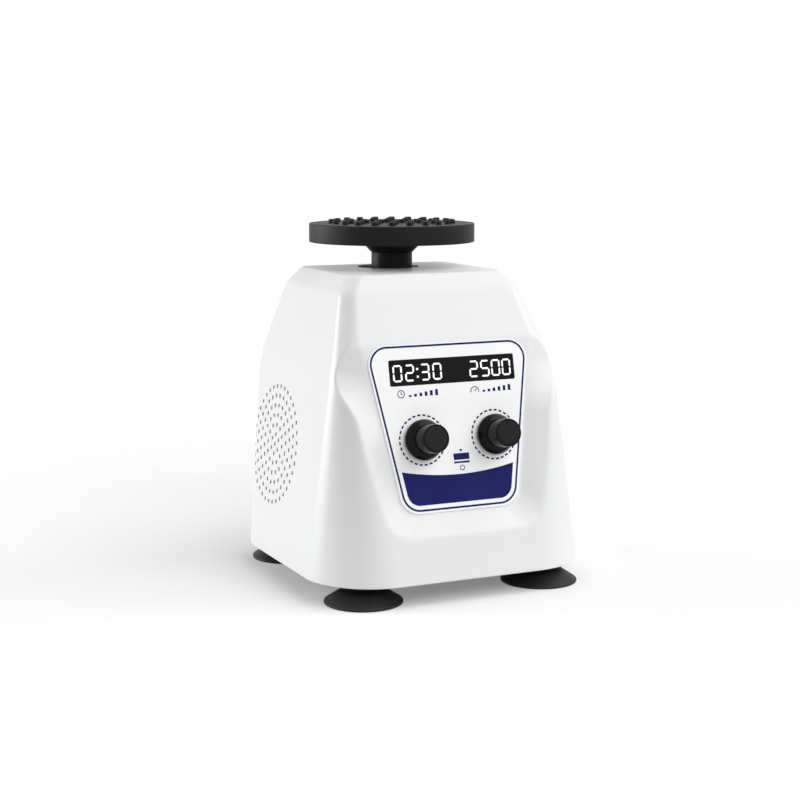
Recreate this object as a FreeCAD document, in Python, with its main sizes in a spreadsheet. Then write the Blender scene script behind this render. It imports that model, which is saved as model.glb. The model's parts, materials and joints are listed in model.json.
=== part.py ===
import FreeCAD, Part
import math
import os
import re
import Sketcher
from FreeCAD import Placement, Rotation, Vector

# A bench-top vortex mixer, in millimetres. +Z is up and the front faces -Y.
# The origin lies on the table, under the middle of the housing's rim.
# The drive axis stands upright at x = 0, y = axis_y.

SIZES = {
    # Housing, at four levels: half width, reach to the front and back, corner radius, and the rise
    # from the level below
    "rim_half_width": 64.5,
    "rim_front": 62.2,
    "rim_back": 62.2,
    "rim_corner": 31,
    "rim_z": 9.4,
    "shoulder_half_width": 53.4,
    "shoulder_front": 44,
    "shoulder_back": 59.4,
    "shoulder_corner": 16.3,
    "shoulder_rise": 85.6,
    "crown_half_width": 42.9,
    "crown_front": 25.2,
    "crown_back": 48,
    "crown_corner": 9,
    "crown_rise": 35,
    "top_half_width": 37,
    "top_front": 19.1,
    "top_back": 43.2,
    "top_corner": 8,
    "top_rise": 7,
    "shoulder_ease": 10,
    "crown_ease": 1.8,
    "top_round": 1,
    "wall": 2.5,
    # Sunken control panel and its printed overlay
    "panel_recess": 4.4,
    "pocket_rise": 32,
    "ramp_low": 7.4,
    "ramp_high": 18.8,
    "ramp_bottom": 9,
    "ramp_corner": 4,
    "overlay_low": 27.2,
    "overlay_high": 39.5,
    "overlay_drop": 57.8,
    "overlay_rise": 14.4,
    "overlay_corner_low": 9,
    "overlay_corner_high": 8.5,
    "overlay_thick": 0.5,
    "overlay_margin": 1,
    "control_shift": 1.4,
    # Display
    "window_half_width": 29.9,
    "window_half_height": 5.45,
    "window_centre": 2.5,
    "window_corner": 0.8,
    "window_proud": 0.35,
    "window_fit": 0.15,
    "module_inset": 0.4,
    "module_half_height": 7,
    # Control board
    "board_depth": 12.4,
    "board_thick": 1.6,
    "board_margin": 4,
    "board_rise": 10,
    "board_corner": 2,
    "spacer_radius": 2.5,
    "spacer_low_x": 24,
    "spacer_low_drop": 40,
    "spacer_gap": 2.1,
    "spacer_high_rise": 2.5,
    "small_screw_radius": 1.25,
    "small_screw_length": 6,
    "small_head_radius": 2.4,
    "small_head_height": 1.6,
    # Push encoders and knobs
    "knob_spread": 17.2,
    "knob_drop": 26.6,
    "encoder_width": 12,
    "encoder_height": 6.5,
    "bushing_radius": 3.5,
    "bushing_proud": 2.6,
    "bushing_hole_gap": 0.2,
    "bushing_nut_radius": 5.6,
    "bushing_nut_height": 2,
    "overlay_hole_gap": 0.6,
    "encoder_shaft_radius": 3,
    "encoder_shaft_gap": 0.05,
    "encoder_floor": 0.8,
    "plunger_radius": 3.95,
    "plunger_thick": 1,
    "plunger_gap": 0.1,
    "push_room": 1.6,
    "knob_lift": 1.9,
    "skirt_radius": 8.8,
    "skirt_edge": 1.1,
    "skirt_wall": 1.05,
    "skirt_bend_radius": 7.9,
    "skirt_bend_height": 2.8,
    "skirt_height": 3.7,
    "grip_foot_radius": 6.3,
    "grip_radius": 6.05,
    "knob_height": 14.4,
    "knob_bevel": 0.4,
    "knob_hollow_radius": 6.4,
    "knob_hollow_depth": 2,
    "knob_crown": 2,
    "cap_radius": 5.2,
    "cap_thick": 0.6,
    # Base plate, feet and ballast
    "plate_thick": 4,
    "plate_gap": 1.2,
    "foot_side_inset": 21.8,
    "foot_end_inset": 18.2,
    "foot_rim_radius": 17,
    "foot_lip": 0.9,
    "foot_lip_width": 1.4,
    "foot_cone_radius": 10.5,
    "foot_cone_z": 5.2,
    "foot_cup_radius": 9.6,
    "foot_cup_z": 3.4,
    "foot_roof_z": 4.2,
    "foot_stem_radius": 6.5,
    "foot_stem_z": 6.2,
    "stud_radius": 3,
    "stud_seat_z": 5.4,
    "stud_proud": 7,
    "stud_nut_radius": 5.8,
    "stud_nut_height": 5,
    "ballast_width": 60,
    "ballast_depth": 26,
    "ballast_height": 20,
    "ballast_y": 31,
    "ballast_screw_x": 20,
    # Housing bosses and the screws that hold the base plate
    "boss_radius": 4.5,
    "boss_bite": 1.8,
    "boss_front": 22,
    "boss_back": 30,
    "boss_height": 18,
    "screw_radius": 1.6,
    "screw_bite": 12,
    "screw_head_radius": 3.4,
    "screw_head_height": 2.4,
    "fit": 0.02,
    "hole_gap": 0.4,
    # Motor and what carries it
    "axis_y": 23.9,
    "column_angle": 35,
    "column_gap": 2.7,
    "column_radius": 5,
    "damper_radius": 7,
    "damper_height": 6,
    "mount_screw_radius": 2,
    "mount_screw_bite": 10,
    "mount_head_radius": 3.8,
    "mount_head_height": 2.8,
    "carrier_thick": 4,
    "carrier_margin": 1,
    "carrier_corner": 8,
    "carrier_bore": 11,
    "motor_radius": 25,
    "motor_can_wall": 2,
    "motor_can_height": 42,
    "bell_height": 8,
    "bell_skin": 1,
    "motor_screw_circle": 16,
    "motor_screw_bite": 6,
    "ball_bearing_radius": 11,
    "ball_bearing_height": 7,
    "shaft_radius": 4,
    "shaft_end_gap": 1,
    "running_gap": 0.04,
    "stator_bore": 15.5,
    "core_gap": 0.5,
    "core_height": 30,
    "core_margin": 6,
    # Eccentric drive
    "eccentricity": 1.8,
    "hub_gap": 4,
    "hub_radius": 13,
    "hub_height": 10,
    "hub_roof": 2,
    "pin_radius": 4,
    "pin_collar_radius": 5.4,
    "pin_collar_height": 3.6,
    "weight_radius": 24,
    "weight_height": 7,
    "weight_cut": 2,
    "grub_radius": 2,
    # Orbiting head
    "neck_radius": 9.4,
    "neck_reach": 3.2,
    "neck_gap": 3,
    "neck_bearing_radius": 8,
    "neck_bearing_height": 5,
    "neck_roof": 4.4,
    "circlip_height": 1,
    "circlip_width": 1.4,
    "spacer_sleeve_wall": 1.4,
    "flange_radius": 14.3,
    "flange_height": 4.9,
    "platform_lift": 11.4,
    "platform_radius": 38,
    "platform_thick": 8.5,
    "platform_round": 0.5,
    "stud_circle": 5.3,
    "stud_pitch": 7.5,
    "stud_rings": 4,
    "grip_stud_radius": 1.55,
    "grip_stud_height": 1.6,
    "spigot_radius": 4,
    "spigot_height": 5.4,
    "insert_radius": 6,
    "insert_height": 5,
    # Opening for the neck, with its sealing boot
    "neck_hole_radius": 14.2,
    "collar_wall": 2.4,
    "collar_drop": 10.5,
    "boot_wall": 1.5,
    "boot_skirt": 6,
    "boot_web": 3.8,
    "boot_cuff": 4,
    "clamp_thick": 1,
    "clamp_height": 3,
    # Side vents
    "vent_y": 20.2,
    "vent_z": 58.9,
    "vent_pitch": 4.33,
    "vent_rings": 6,
    "vent_turn": 30,
    "vent_hole_radius": 0.9,
    # Power socket in the back wall
    "socket_x": 0,
    "socket_z": 26,
    "socket_sink": 2.4,
    "socket_recess_radius": 9,
    "socket_pad_radius": 11.5,
    "socket_pad_thick": 2.8,
    "socket_flange_radius": 7.5,
    "socket_flange_thick": 1.6,
    "socket_barrel_radius": 5.5,
    "socket_bore_radius": 2.8,
    "socket_bore_depth": 10,
    "socket_floor": 1.2,
    "socket_pin_radius": 1,
    "socket_nut_radius": 8,
    "socket_nut_thick": 2.5,
    "socket_nut_gap": 0.1,
}

# A cutting tool runs this many times as far as the cut is deep
OVERRUN = 2
# Studs and vent holes stand in rings, each with this many more than the ring inside it
RING_GAIN = 6
# Studs in the platform's inmost ring
FIRST_STUDS = 4
# Flats in each eased bend of the housing
SHOULDER_STEPS = 5
EDGE_STEPS = 3

doc = FreeCAD.newDocument("VortexMixer")
sheet = doc.addObject("Spreadsheet::Sheet", "Dims")
for row, (name, size) in enumerate(SIZES.items(), start=1):
    sheet.set(f"A{row}", name)
    sheet.set(f"B{row}", str(size))
    sheet.setAlias(f"B{row}", name)
doc.recompute()

PARTS = []


# Formulas, places and rotations

def bound(formula):
    """Write the size names in a formula as cells of the sheet."""
    return re.sub(r"[a-z]\w*", lambda word: f"Dims.{word[0]}" if word[0] in SIZES else word[0], formula)


def value(formula):
    """Work out a formula's number from the sheet."""
    return float(sheet.evalExpression(bound(formula)))


def spot(x="0", y="0", z="0"):
    """Point given by three formulas."""
    return Vector(value(x), value(y), value(z))


SHOULDER_Z = "(rim_z + shoulder_rise)"
CROWN_Z = f"({SHOULDER_Z} + crown_rise)"
TOP_Z = f"({CROWN_Z} + top_rise)"
LEVEL_Z = {"rim": "rim_z", "shoulder": SHOULDER_Z, "crown": CROWN_Z, "top": TOP_Z}
TILT = math.degrees(math.atan2(value("rim_front - shoulder_front"), value("shoulder_rise")))
UPRIGHT = Rotation()
SIDEWAYS = Rotation(Vector(0, 1, 0), 90)
BACKWARD = Rotation(Vector(1, 0, 0), -90)
PANEL = Rotation(Vector(1, 0, 0), 90 - TILT)
HERE = Placement()


def upright(x="0", y="0", z="0"):
    """Placement of a piece that stands along Z."""
    return Placement(spot(x, y, z), UPRIGHT)


def on_panel(x="0", v="0", w="0"):
    """Placement in the control panel's frame: x to the right, v up its slope, w out of it."""
    bend = spot("0", "-shoulder_front", SHOULDER_Z)
    return Placement(bend + PANEL.multVec(spot(x, v, f"{w} - panel_recess")), PANEL)


# Sketches

def sketch_on(body, role="XY_Plane", lift="0"):
    """Empty sketch on one of the body's own origin planes, lifted along that plane's normal."""
    sketch = body.newObject("Sketcher::SketchObject", "sketch")
    plane = next(feature for feature in body.Origin.OriginFeatures if feature.Role == role)
    sketch.AttachmentSupport = [(plane, "")]
    sketch.MapMode = "FlatFace"
    sketch.setExpression("AttachmentOffset.Base.z", bound(lift))
    return sketch


def hold(sketch, kind, formula, *where):
    """Add a dimension to a sketch and bind it to the sheet."""
    index = sketch.addConstraint(Sketcher.Constraint(kind, *where, value(formula)))
    sketch.setExpression(f"Constraints[{index}]", bound(formula))


def hold_point(sketch, geometry, vertex, x, y):
    """Fix a sketch point at two formulas from the sketch's origin."""
    for kind, axis, formula in (("DistanceX", -2, x), ("DistanceY", -1, y)):
        if formula == "0":
            sketch.addConstraint(Sketcher.Constraint("PointOnObject", geometry, vertex, axis))
        else:
            hold(sketch, kind, formula, -1, 1, geometry, vertex)


def polygon(body, corners):
    """Closed upright outline of straight lines through corners given as formulas."""
    sketch = sketch_on(body, "XZ_Plane")
    points = [spot(x, y) for x, y in corners]
    count = len(points)
    for index, start in enumerate(points):
        sketch.addGeometry(Part.LineSegment(start, points[(index + 1) % count]), False)
    for index in range(count):
        sketch.addConstraint(Sketcher.Constraint("Coincident", index, 2, (index + 1) % count, 1))
    for index, (x, y) in enumerate(corners):
        hold_point(sketch, index, 1, x, y)
    return sketch


def rounded_quad(body, half_low, half_high, low, high, round_low, round_high, lift="0"):
    """Four-sided outline, even about the y axis, with rounded corners: low edge first."""
    sketch = sketch_on(body, lift=lift)
    corners = [(f"-({half_low})", low), (half_low, low), (half_high, high), (f"-({half_high})", high)]
    rounds = [round_low, round_low, round_high, round_high]
    points = [spot(x, y) for x, y in corners]
    starts, ends, centres = [], [], []
    for index, point in enumerate(points):
        before = (points[index - 1] - point).normalize()
        after = (points[(index + 1) % 4] - point).normalize()
        half_angle = before.getAngle(after) / 2
        radius = value(rounds[index])
        starts.append(point + before * (radius / math.tan(half_angle)))
        ends.append(point + after * (radius / math.tan(half_angle)))
        centres.append(point + (before + after).normalize() * (radius / math.sin(half_angle)))
    for index in range(4):
        sketch.addGeometry(Part.LineSegment(ends[index], starts[(index + 1) % 4]), False)
    for index, centre in enumerate(centres):
        spokes = [starts[index] - centre, ends[index] - centre]
        angles = [math.atan2(spoke.y, spoke.x) for spoke in spokes]
        turn = (angles[1] - angles[0]) % (2 * math.pi)
        circle = Part.Circle(centre, Vector(0, 0, 1), value(rounds[index]))
        sketch.addGeometry(Part.ArcOfCircle(circle, angles[0], angles[0] + turn), False)
    for index in range(4):
        sketch.addConstraint(Sketcher.Constraint("Tangent", (index - 1) % 4, 2, 4 + index, 1))
        sketch.addConstraint(Sketcher.Constraint("Tangent", 4 + index, 2, index, 1))
        hold(sketch, "Radius", rounds[index], 4 + index)
    for index, (x, y) in enumerate(corners):
        corner = sketch.addGeometry(Part.Point(points[index]), True)
        sketch.addConstraint(Sketcher.Constraint("PointOnObject", corner, 1, (index - 1) % 4))
        sketch.addConstraint(Sketcher.Constraint("PointOnObject", corner, 1, index))
        hold_point(sketch, corner, 1, x, y)
    return sketch


def circle_at(body, radius, x, y, lift):
    """Circle given by formulas."""
    sketch = sketch_on(body, lift=lift)
    circle = Part.Circle(spot(x, y), Vector(0, 0, 1), value(radius))
    index = sketch.addGeometry(circle, False)
    hold_point(sketch, index, 3, x, y)
    hold(sketch, "Radius", radius, index)
    return sketch


# Bodies and solids

def new_body(place=HERE):
    """Empty body at a placement."""
    body = doc.addObject("PartDesign::Body", "body")
    body.Placement = place
    return body


def revolved(profile, place=HERE):
    """Body turned about its own Z axis from (radius, height) corners."""
    body = new_body(place)
    turn = body.newObject("PartDesign::Revolution", "turn")
    turn.Profile = polygon(body, profile)
    turn.ReferenceAxis = (turn.Profile[0], ["V_Axis"])
    turn.Angle = 360
    return body


def pad(body, sketch, length):
    """Raise a sketch by a length."""
    feature = body.newObject("PartDesign::Pad", "pad")
    feature.Profile = sketch
    feature.setExpression("Length", bound(length))
    return feature


def loft(body, sketches):
    """Skin a run of sketches with straight rulings."""
    feature = body.newObject("PartDesign::AdditiveLoft", "loft")
    feature.Profile = sketches[0]
    feature.Sections = sketches[1:]
    feature.Ruled = True
    return feature


def plate(half_low, half_high, low, high, round_low, round_high, thick, place=HERE):
    """Flat body with a rounded four-sided outline."""
    body = new_body(place)
    pad(body, rounded_quad(body, half_low, half_high, low, high, round_low, round_high), thick)
    return body


def cylinder(radius, length, place=HERE):
    """Round bar along its placement's Z axis."""
    piece = doc.addObject("Part::Cylinder", "cylinder")
    piece.setExpression("Radius", bound(radius))
    piece.setExpression("Height", bound(length))
    piece.Placement = place
    return piece


def block(width, depth, height, place=HERE):
    """Box centred on its placement in x and y, and standing on it in z."""
    piece = doc.addObject("Part::Box", "block")
    piece.setExpression("Length", bound(width))
    piece.setExpression("Width", bound(depth))
    piece.setExpression("Height", bound(height))
    piece.Placement = place.multiply(upright(f"-({width}) / 2", f"-({depth}) / 2"))
    return piece


def hexagon(radius, height, place=HERE):
    """Six-sided bar, with its corners at the given radius."""
    piece = doc.addObject("Part::Prism", "hexagon")
    piece.Polygon = 6
    piece.setExpression("Circumradius", bound(radius))
    piece.setExpression("Height", bound(height))
    piece.Placement = place
    return piece


def fuse(*pieces):
    """Join pieces into one."""
    joined = doc.addObject("Part::MultiFuse", "fuse")
    joined.Shapes = list(pieces)
    return joined


def cut(base, *tools):
    """Take tools out of a base."""
    piece = doc.addObject("Part::Cut", "cut")
    piece.Base = base
    piece.Tool = tools[0] if len(tools) == 1 else fuse(*tools)
    return piece


def tube(outer, inner, length, place=HERE):
    """Round bar with a bore right through it."""
    return cut(cylinder(outer, length, place), cylinder(inner, length, place))


def along(place, distance):
    """The same placement, moved along its own Z axis."""
    return place.multiply(upright(z=distance))


def ring_spots(rings, first_radius, first_count, pitch, turn="0"):
    """Offsets of the spots in a run of rings about a middle, as pairs of formulas."""
    spots = []
    for ring in range(int(value(rings))):
        count = first_count + RING_GAIN * ring
        radius = f"({first_radius} + {pitch} * {ring})"
        for step in range(count):
            angle = f"({turn} + {360 * step / count})"
            spots.append((f"{radius} * cos({angle})", f"{radius} * sin({angle})"))
    return spots


def screw(head_radius, head_height, radius, length, place):
    """Headed screw: the shank runs along Z from the placement, and the head lies behind it."""
    shank = cylinder(radius, length, place)
    head = cylinder(head_radius, head_height, along(place, f"-({head_height})"))
    return fuse(shank, head)


def nut(radius, height, bore, place):
    """Hexagon nut with a plain bore."""
    return cut(hexagon(radius, height, place), cylinder(bore, height, place))


def node(label, *pieces):
    """Name a finished sub-part. Several pieces make a group of separate solids."""
    piece = pieces[0]
    if len(pieces) > 1:
        piece = doc.addObject("Part::Compound", "group")
        piece.Links = list(pieces)
    piece.Label = label
    PARTS.append(piece)
    return piece


# Heights and places that several pieces share

PLATE_TOP = "(rim_z + plate_thick)"
CEILING_Z = f"({TOP_Z} - wall)"
COLLAR_Z = f"({CEILING_Z} - collar_drop)"
WEB_Z = f"({COLLAR_Z} - boot_web)"
CUFF_Z = f"({WEB_Z} - boot_cuff)"
PLATFORM_Z = f"({TOP_Z} + platform_lift)"
PLATFORM_TOP = f"({PLATFORM_Z} + platform_thick)"
NECK_Z = f"({CUFF_Z} - neck_reach)"
NECK_ROOF_Z = f"({PLATFORM_Z} - neck_roof)"
LOWER_BEARING_Z = f"({NECK_Z} + circlip_height)"
UPPER_BEARING_Z = f"({NECK_ROOF_Z} - circlip_height - neck_bearing_height)"
HUB_TOP = f"({NECK_Z} - neck_gap)"
HUB_Z = f"({HUB_TOP} - hub_height)"
CARRIER_TOP = f"({HUB_Z} - hub_gap)"
CARRIER_Z = f"({CARRIER_TOP} - carrier_thick)"
CAN_TOP = f"({CARRIER_Z} - bell_height)"
CAN_Z = f"({CAN_TOP} - motor_can_height)"
MOTOR_Z = f"({CAN_Z} - bell_height)"
COLUMN_TOP = f"({CARRIER_Z} - damper_height)"
COLUMN_REACH = "(motor_radius + damper_radius + column_gap)"
COLUMN_X = f"({COLUMN_REACH} * cos(column_angle))"
COLUMN_Y = f"({COLUMN_REACH} * sin(column_angle))"
BOARD_FRONT = "(0 - board_depth)"
PANEL_BACK = "(0 - wall)"
MODULE_HALF_WIDTH = "(window_half_width - module_inset)"
SPACER_HIGH_X = f"(control_shift + {MODULE_HALF_WIDTH} + spacer_gap + spacer_radius)"
WALL_SLOPE = "((rim_half_width - shoulder_half_width) / shoulder_rise)"
BACK_SLOPE = "((rim_back - shoulder_back) / shoulder_rise)"
BOSS_TOP = f"({PLATE_TOP} + boss_height)"
BOSS_X = f"(rim_half_width - {WALL_SLOPE} * ({BOSS_TOP} - rim_z) - wall - boss_radius + boss_bite)"
SOCKET_Y = f"(rim_back - {BACK_SLOPE} * (socket_z + socket_recess_radius - rim_z) - socket_sink)"
BOSS_SPOTS = [(f"{side} * {BOSS_X}", y) for side in (-1, 1) for y in ("0 - boss_front", "boss_back")]
COLUMN_SPOTS = [(f"{side} * {COLUMN_X}", f"axis_y + {end} * {COLUMN_Y}")
                for side in (-1, 1) for end in (-1, 1)]
FOOT_X = "(rim_half_width - foot_side_inset)"
FOOT_FRONT = "(foot_end_inset - rim_front)"
FOOT_BACK = "(rim_back - foot_end_inset)"
FOOT_SPOTS = {
    "front_left": (f"0 - {FOOT_X}", FOOT_FRONT),
    "front_right": (FOOT_X, FOOT_FRONT),
    "rear_left": (f"0 - {FOOT_X}", FOOT_BACK),
    "rear_right": (FOOT_X, FOOT_BACK),
}
BALLAST_SPOTS = [(f"{side} * ballast_screw_x", "0 - ballast_y") for side in (-1, 1)]
MOTOR_SPOTS = [(f"{x} * motor_screw_circle * sqrt(0.5)", f"axis_y + {y} * motor_screw_circle * sqrt(0.5)")
               for x in (-1, 1) for y in (-1, 1)]
SPACER_SPOTS = [(f"{side} * spacer_low_x", "0 - spacer_low_drop") for side in (-1, 1)]
SPACER_SPOTS += [(f"{side} * {SPACER_HIGH_X}", "spacer_high_rise") for side in (-1, 1)]
KNOB_SPOTS = {
    "time": ("control_shift - knob_spread", "0 - knob_drop"),
    "speed": ("control_shift + knob_spread", "0 - knob_drop"),
}


# Housing

def level(low, high, share, inset):
    """Section of the housing part of the way from one level to the next, drawn in by an inset."""
    ends = {key: (f"{low}_{key}", f"{high}_{key}") for key in ("half_width", "front", "back", "corner")}
    section = {key: f"({start} + ({end} - {start}) * ({share}) - {inset})"
               for key, (start, end) in ends.items()}
    section["z"] = f"({LEVEL_Z[low]} + {high}_rise * ({share}))"
    return section


def eased(before, bend, after, steps):
    """Run of sections that rounds a bend between two neighbours, along a parabola."""
    shares = [step / steps for step in range(steps + 1)]
    return [{key: f"({before[key]} * {(1 - share) ** 2} + {bend[key]} * {2 * share * (1 - share)}"
                  f" + {after[key]} * {share ** 2})" for key in bend} for share in shares]


def section_sketch(body, section):
    """Rounded outline of one section of the housing."""
    return rounded_quad(body, section["half_width"], section["half_width"], f"0 - {section['front']}",
                        section["back"], section["corner"], section["corner"], lift=section["z"])


def housing_form(inset, ending):
    """Solid housing form: tapered walls, a bevelled crown, both bends eased, and ending sections."""
    sections = [level("rim", "shoulder", "0", inset)]
    for low, bend, high, ease, steps in (("rim", "shoulder", "crown", "shoulder_ease", SHOULDER_STEPS),
                                         ("shoulder", "crown", "top", "crown_ease", EDGE_STEPS)):
        before = level(low, bend, f"1 - {ease} / {bend}_rise", inset)
        after = level(bend, high, f"{ease} / {high}_rise", inset)
        sections += eased(before, level(low, bend, "1", inset), after, steps)
    body = new_body()
    loft(body, [section_sketch(body, section) for section in sections + ending])
    return body


def outer_form():
    """Outside of the housing, with its top edge rounded."""
    before = level("crown", "top", "1 - top_round / top_rise", "0")
    edge = level("crown", "top", "1", "0")
    after = level("crown", "top", "1", "top_round")
    return housing_form("0", eased(before, edge, after, EDGE_STEPS))


def inner_form():
    """Inside of the housing, up to the ceiling under its top."""
    return housing_form("wall", [level("crown", "top", "1 - wall / top_rise", "wall")])


def panel_pocket(sink, grow):
    """Ramped pocket in front of the panel, moved inwards and grown on its sides."""
    side_slope = "(overlay_high - overlay_low) / (overlay_rise + overlay_drop)"
    low = f"(overlay_low + overlay_margin + {grow})"
    high = f"({low} + {side_slope} * (overlay_drop + pocket_rise))"
    drop = f"(overlay_drop + overlay_margin + {grow})"
    corner = "overlay_corner_low"
    body = new_body(on_panel(w=f"0 - {sink}"))
    floor = rounded_quad(body, low, high, f"0 - {drop}", "pocket_rise", corner, corner)
    mouth_corner = f"({corner} + {OVERRUN} * ramp_corner)"
    mouth = rounded_quad(body, f"({low} + {OVERRUN} * ramp_low)", f"({high} + {OVERRUN} * ramp_high)",
                         f"0 - {drop} - {OVERRUN} * ramp_bottom", "pocket_rise", mouth_corner, mouth_corner,
                         lift=f"{OVERRUN} * panel_recess")
    loft(body, [floor, mouth])
    return body


def window_plate(grow, proud):
    """Display window, from the panel's back face to a little proud of its front."""
    return plate(f"window_half_width + {grow}", f"window_half_width + {grow}",
                 f"0 - window_half_height - {grow}", f"window_half_height + {grow}",
                 "window_corner", "window_corner", f"wall + {proud}",
                 on_panel("control_shift", "window_centre", PANEL_BACK))


def vent_holes(side):
    """Rings of small holes through one side wall, around a hole in the middle."""
    wall_x = f"(rim_half_width - {WALL_SLOPE} * (vent_z - rim_z))"
    reach = f"({WALL_SLOPE} * vent_pitch * vent_rings + {OVERRUN} * wall)"
    holes = []
    rings = ring_spots("vent_rings", "vent_pitch", RING_GAIN, "vent_pitch", "vent_turn")
    for across, rise in [("0", "0")] + rings:
        start = spot(f"{side} * {wall_x} - {reach}", f"vent_y + {across}", f"vent_z + {rise}")
        holes.append(cylinder("vent_hole_radius", f"2 * {reach}", Placement(start, SIDEWAYS)))
    return holes


def housing():
    """One-piece upper housing with its panel, neck collar, bosses, vents and socket recess."""
    outer = cut(outer_form(), panel_pocket("0", "0"))
    cavity = cut(inner_form(), panel_pocket("wall", "wall / 2"))
    socket = Placement(spot("socket_x", SOCKET_Y, "socket_z"), BACKWARD)
    collar = cylinder("neck_hole_radius + collar_wall", "collar_drop", upright("0", "axis_y", COLLAR_Z))
    bosses = [cylinder("boss_radius", "boss_height", upright(x, y, PLATE_TOP)) for x, y in BOSS_SPOTS]
    socket_pad = cylinder("socket_pad_radius", "socket_pad_thick + socket_sink / 2",
                          along(socket, "0 - socket_pad_thick"))
    shell = fuse(cut(outer, cavity), collar, socket_pad, *bosses)
    pilots = [cylinder("screw_radius + fit", "screw_bite", upright(x, y, PLATE_TOP))
              for x, y in BOSS_SPOTS]
    bushings = [cylinder("bushing_radius + bushing_hole_gap", f"2 * {OVERRUN} * wall",
                         on_panel(x, v, f"0 - {OVERRUN} * wall")) for x, v in KNOB_SPOTS.values()]
    neck_hole = cylinder("neck_hole_radius", f"collar_drop + {OVERRUN} * wall",
                         upright("0", "axis_y", COLLAR_Z))
    socket_recess = cylinder("socket_recess_radius", f"{OVERRUN} * socket_sink", socket)
    socket_hole = cylinder("socket_barrel_radius + bushing_hole_gap", f"2 * {OVERRUN} * socket_pad_thick",
                           along(socket, f"0 - {OVERRUN} * socket_pad_thick"))
    vents = [hole for side in (-1, 1) for hole in vent_holes(side)]
    node("housing", cut(shell, window_plate("window_fit", "wall"), neck_hole, socket_recess, socket_hole,
                        *pilots, *bushings, *vents))


# Base

def base_plate():
    """Steel plate inside the rim, with clearance holes for the studs and screws."""
    inset = "(wall + plate_gap)"
    half_width = f"rim_half_width - {inset}"
    corner = f"rim_corner - {inset}"
    sheet_metal = plate(half_width, half_width, f"{inset} - rim_front", f"rim_back - {inset}",
                        corner, corner, "plate_thick", upright(z="rim_z"))
    holes = [cylinder("stud_radius + hole_gap", "plate_thick", upright(x, y, "rim_z"))
             for x, y in FOOT_SPOTS.values()]
    holes += [cylinder("screw_radius + hole_gap", "plate_thick", upright(x, y, "rim_z"))
              for x, y in BOSS_SPOTS]
    holes += [cylinder("mount_screw_radius + hole_gap", "plate_thick", upright(x, y, "rim_z"))
              for x, y in COLUMN_SPOTS + BALLAST_SPOTS]
    node("base_plate", cut(sheet_metal, *holes))
    node("housing_screws", *[screw("screw_head_radius", "screw_head_height", "screw_radius",
                                   "plate_thick + screw_bite", upright(x, y, "rim_z"))
                             for x, y in BOSS_SPOTS])


def feet():
    """Suction feet, each with a stud through the base plate and a nut on top of it."""
    profile = [
        ("stud_radius + fit", "rim_z"),
        ("stud_radius + fit", "stud_seat_z"),
        ("0", "stud_seat_z"),
        ("0", "foot_roof_z"),
        ("foot_cup_radius", "foot_cup_z"),
        ("foot_rim_radius - foot_lip_width", "0"),
        ("foot_rim_radius", "0"),
        ("foot_rim_radius", "foot_lip"),
        ("foot_cone_radius", "foot_cone_z"),
        ("foot_stem_radius", "foot_stem_z"),
        ("foot_stem_radius", "rim_z"),
    ]
    for name, (x, y) in FOOT_SPOTS.items():
        node(f"foot_{name}", revolved(profile, upright(x, y)))
    stud_length = f"{PLATE_TOP} + stud_proud - stud_seat_z"
    node("foot_studs", *[cylinder("stud_radius", stud_length, upright(x, y, "stud_seat_z"))
                         for x, y in FOOT_SPOTS.values()])
    node("foot_nuts", *[nut("stud_nut_radius", "stud_nut_height", "stud_radius + fit",
                            upright(x, y, PLATE_TOP)) for x, y in FOOT_SPOTS.values()])


def ballast():
    """Cast-iron block on the base plate, screwed on from below."""
    bar = block("ballast_width", "ballast_depth", "ballast_height", upright("0", "0 - ballast_y", PLATE_TOP))
    holes = [cylinder("mount_screw_radius + fit", "mount_screw_bite", upright(x, y, PLATE_TOP))
             for x, y in BALLAST_SPOTS]
    node("ballast_weight", cut(bar, *holes))
    node("ballast_screws", *[screw("mount_head_radius", "mount_head_height", "mount_screw_radius",
                                   "plate_thick + mount_screw_bite", upright(x, y, "rim_z"))
                             for x, y in BALLAST_SPOTS])


# Motor and its mounting

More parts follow.
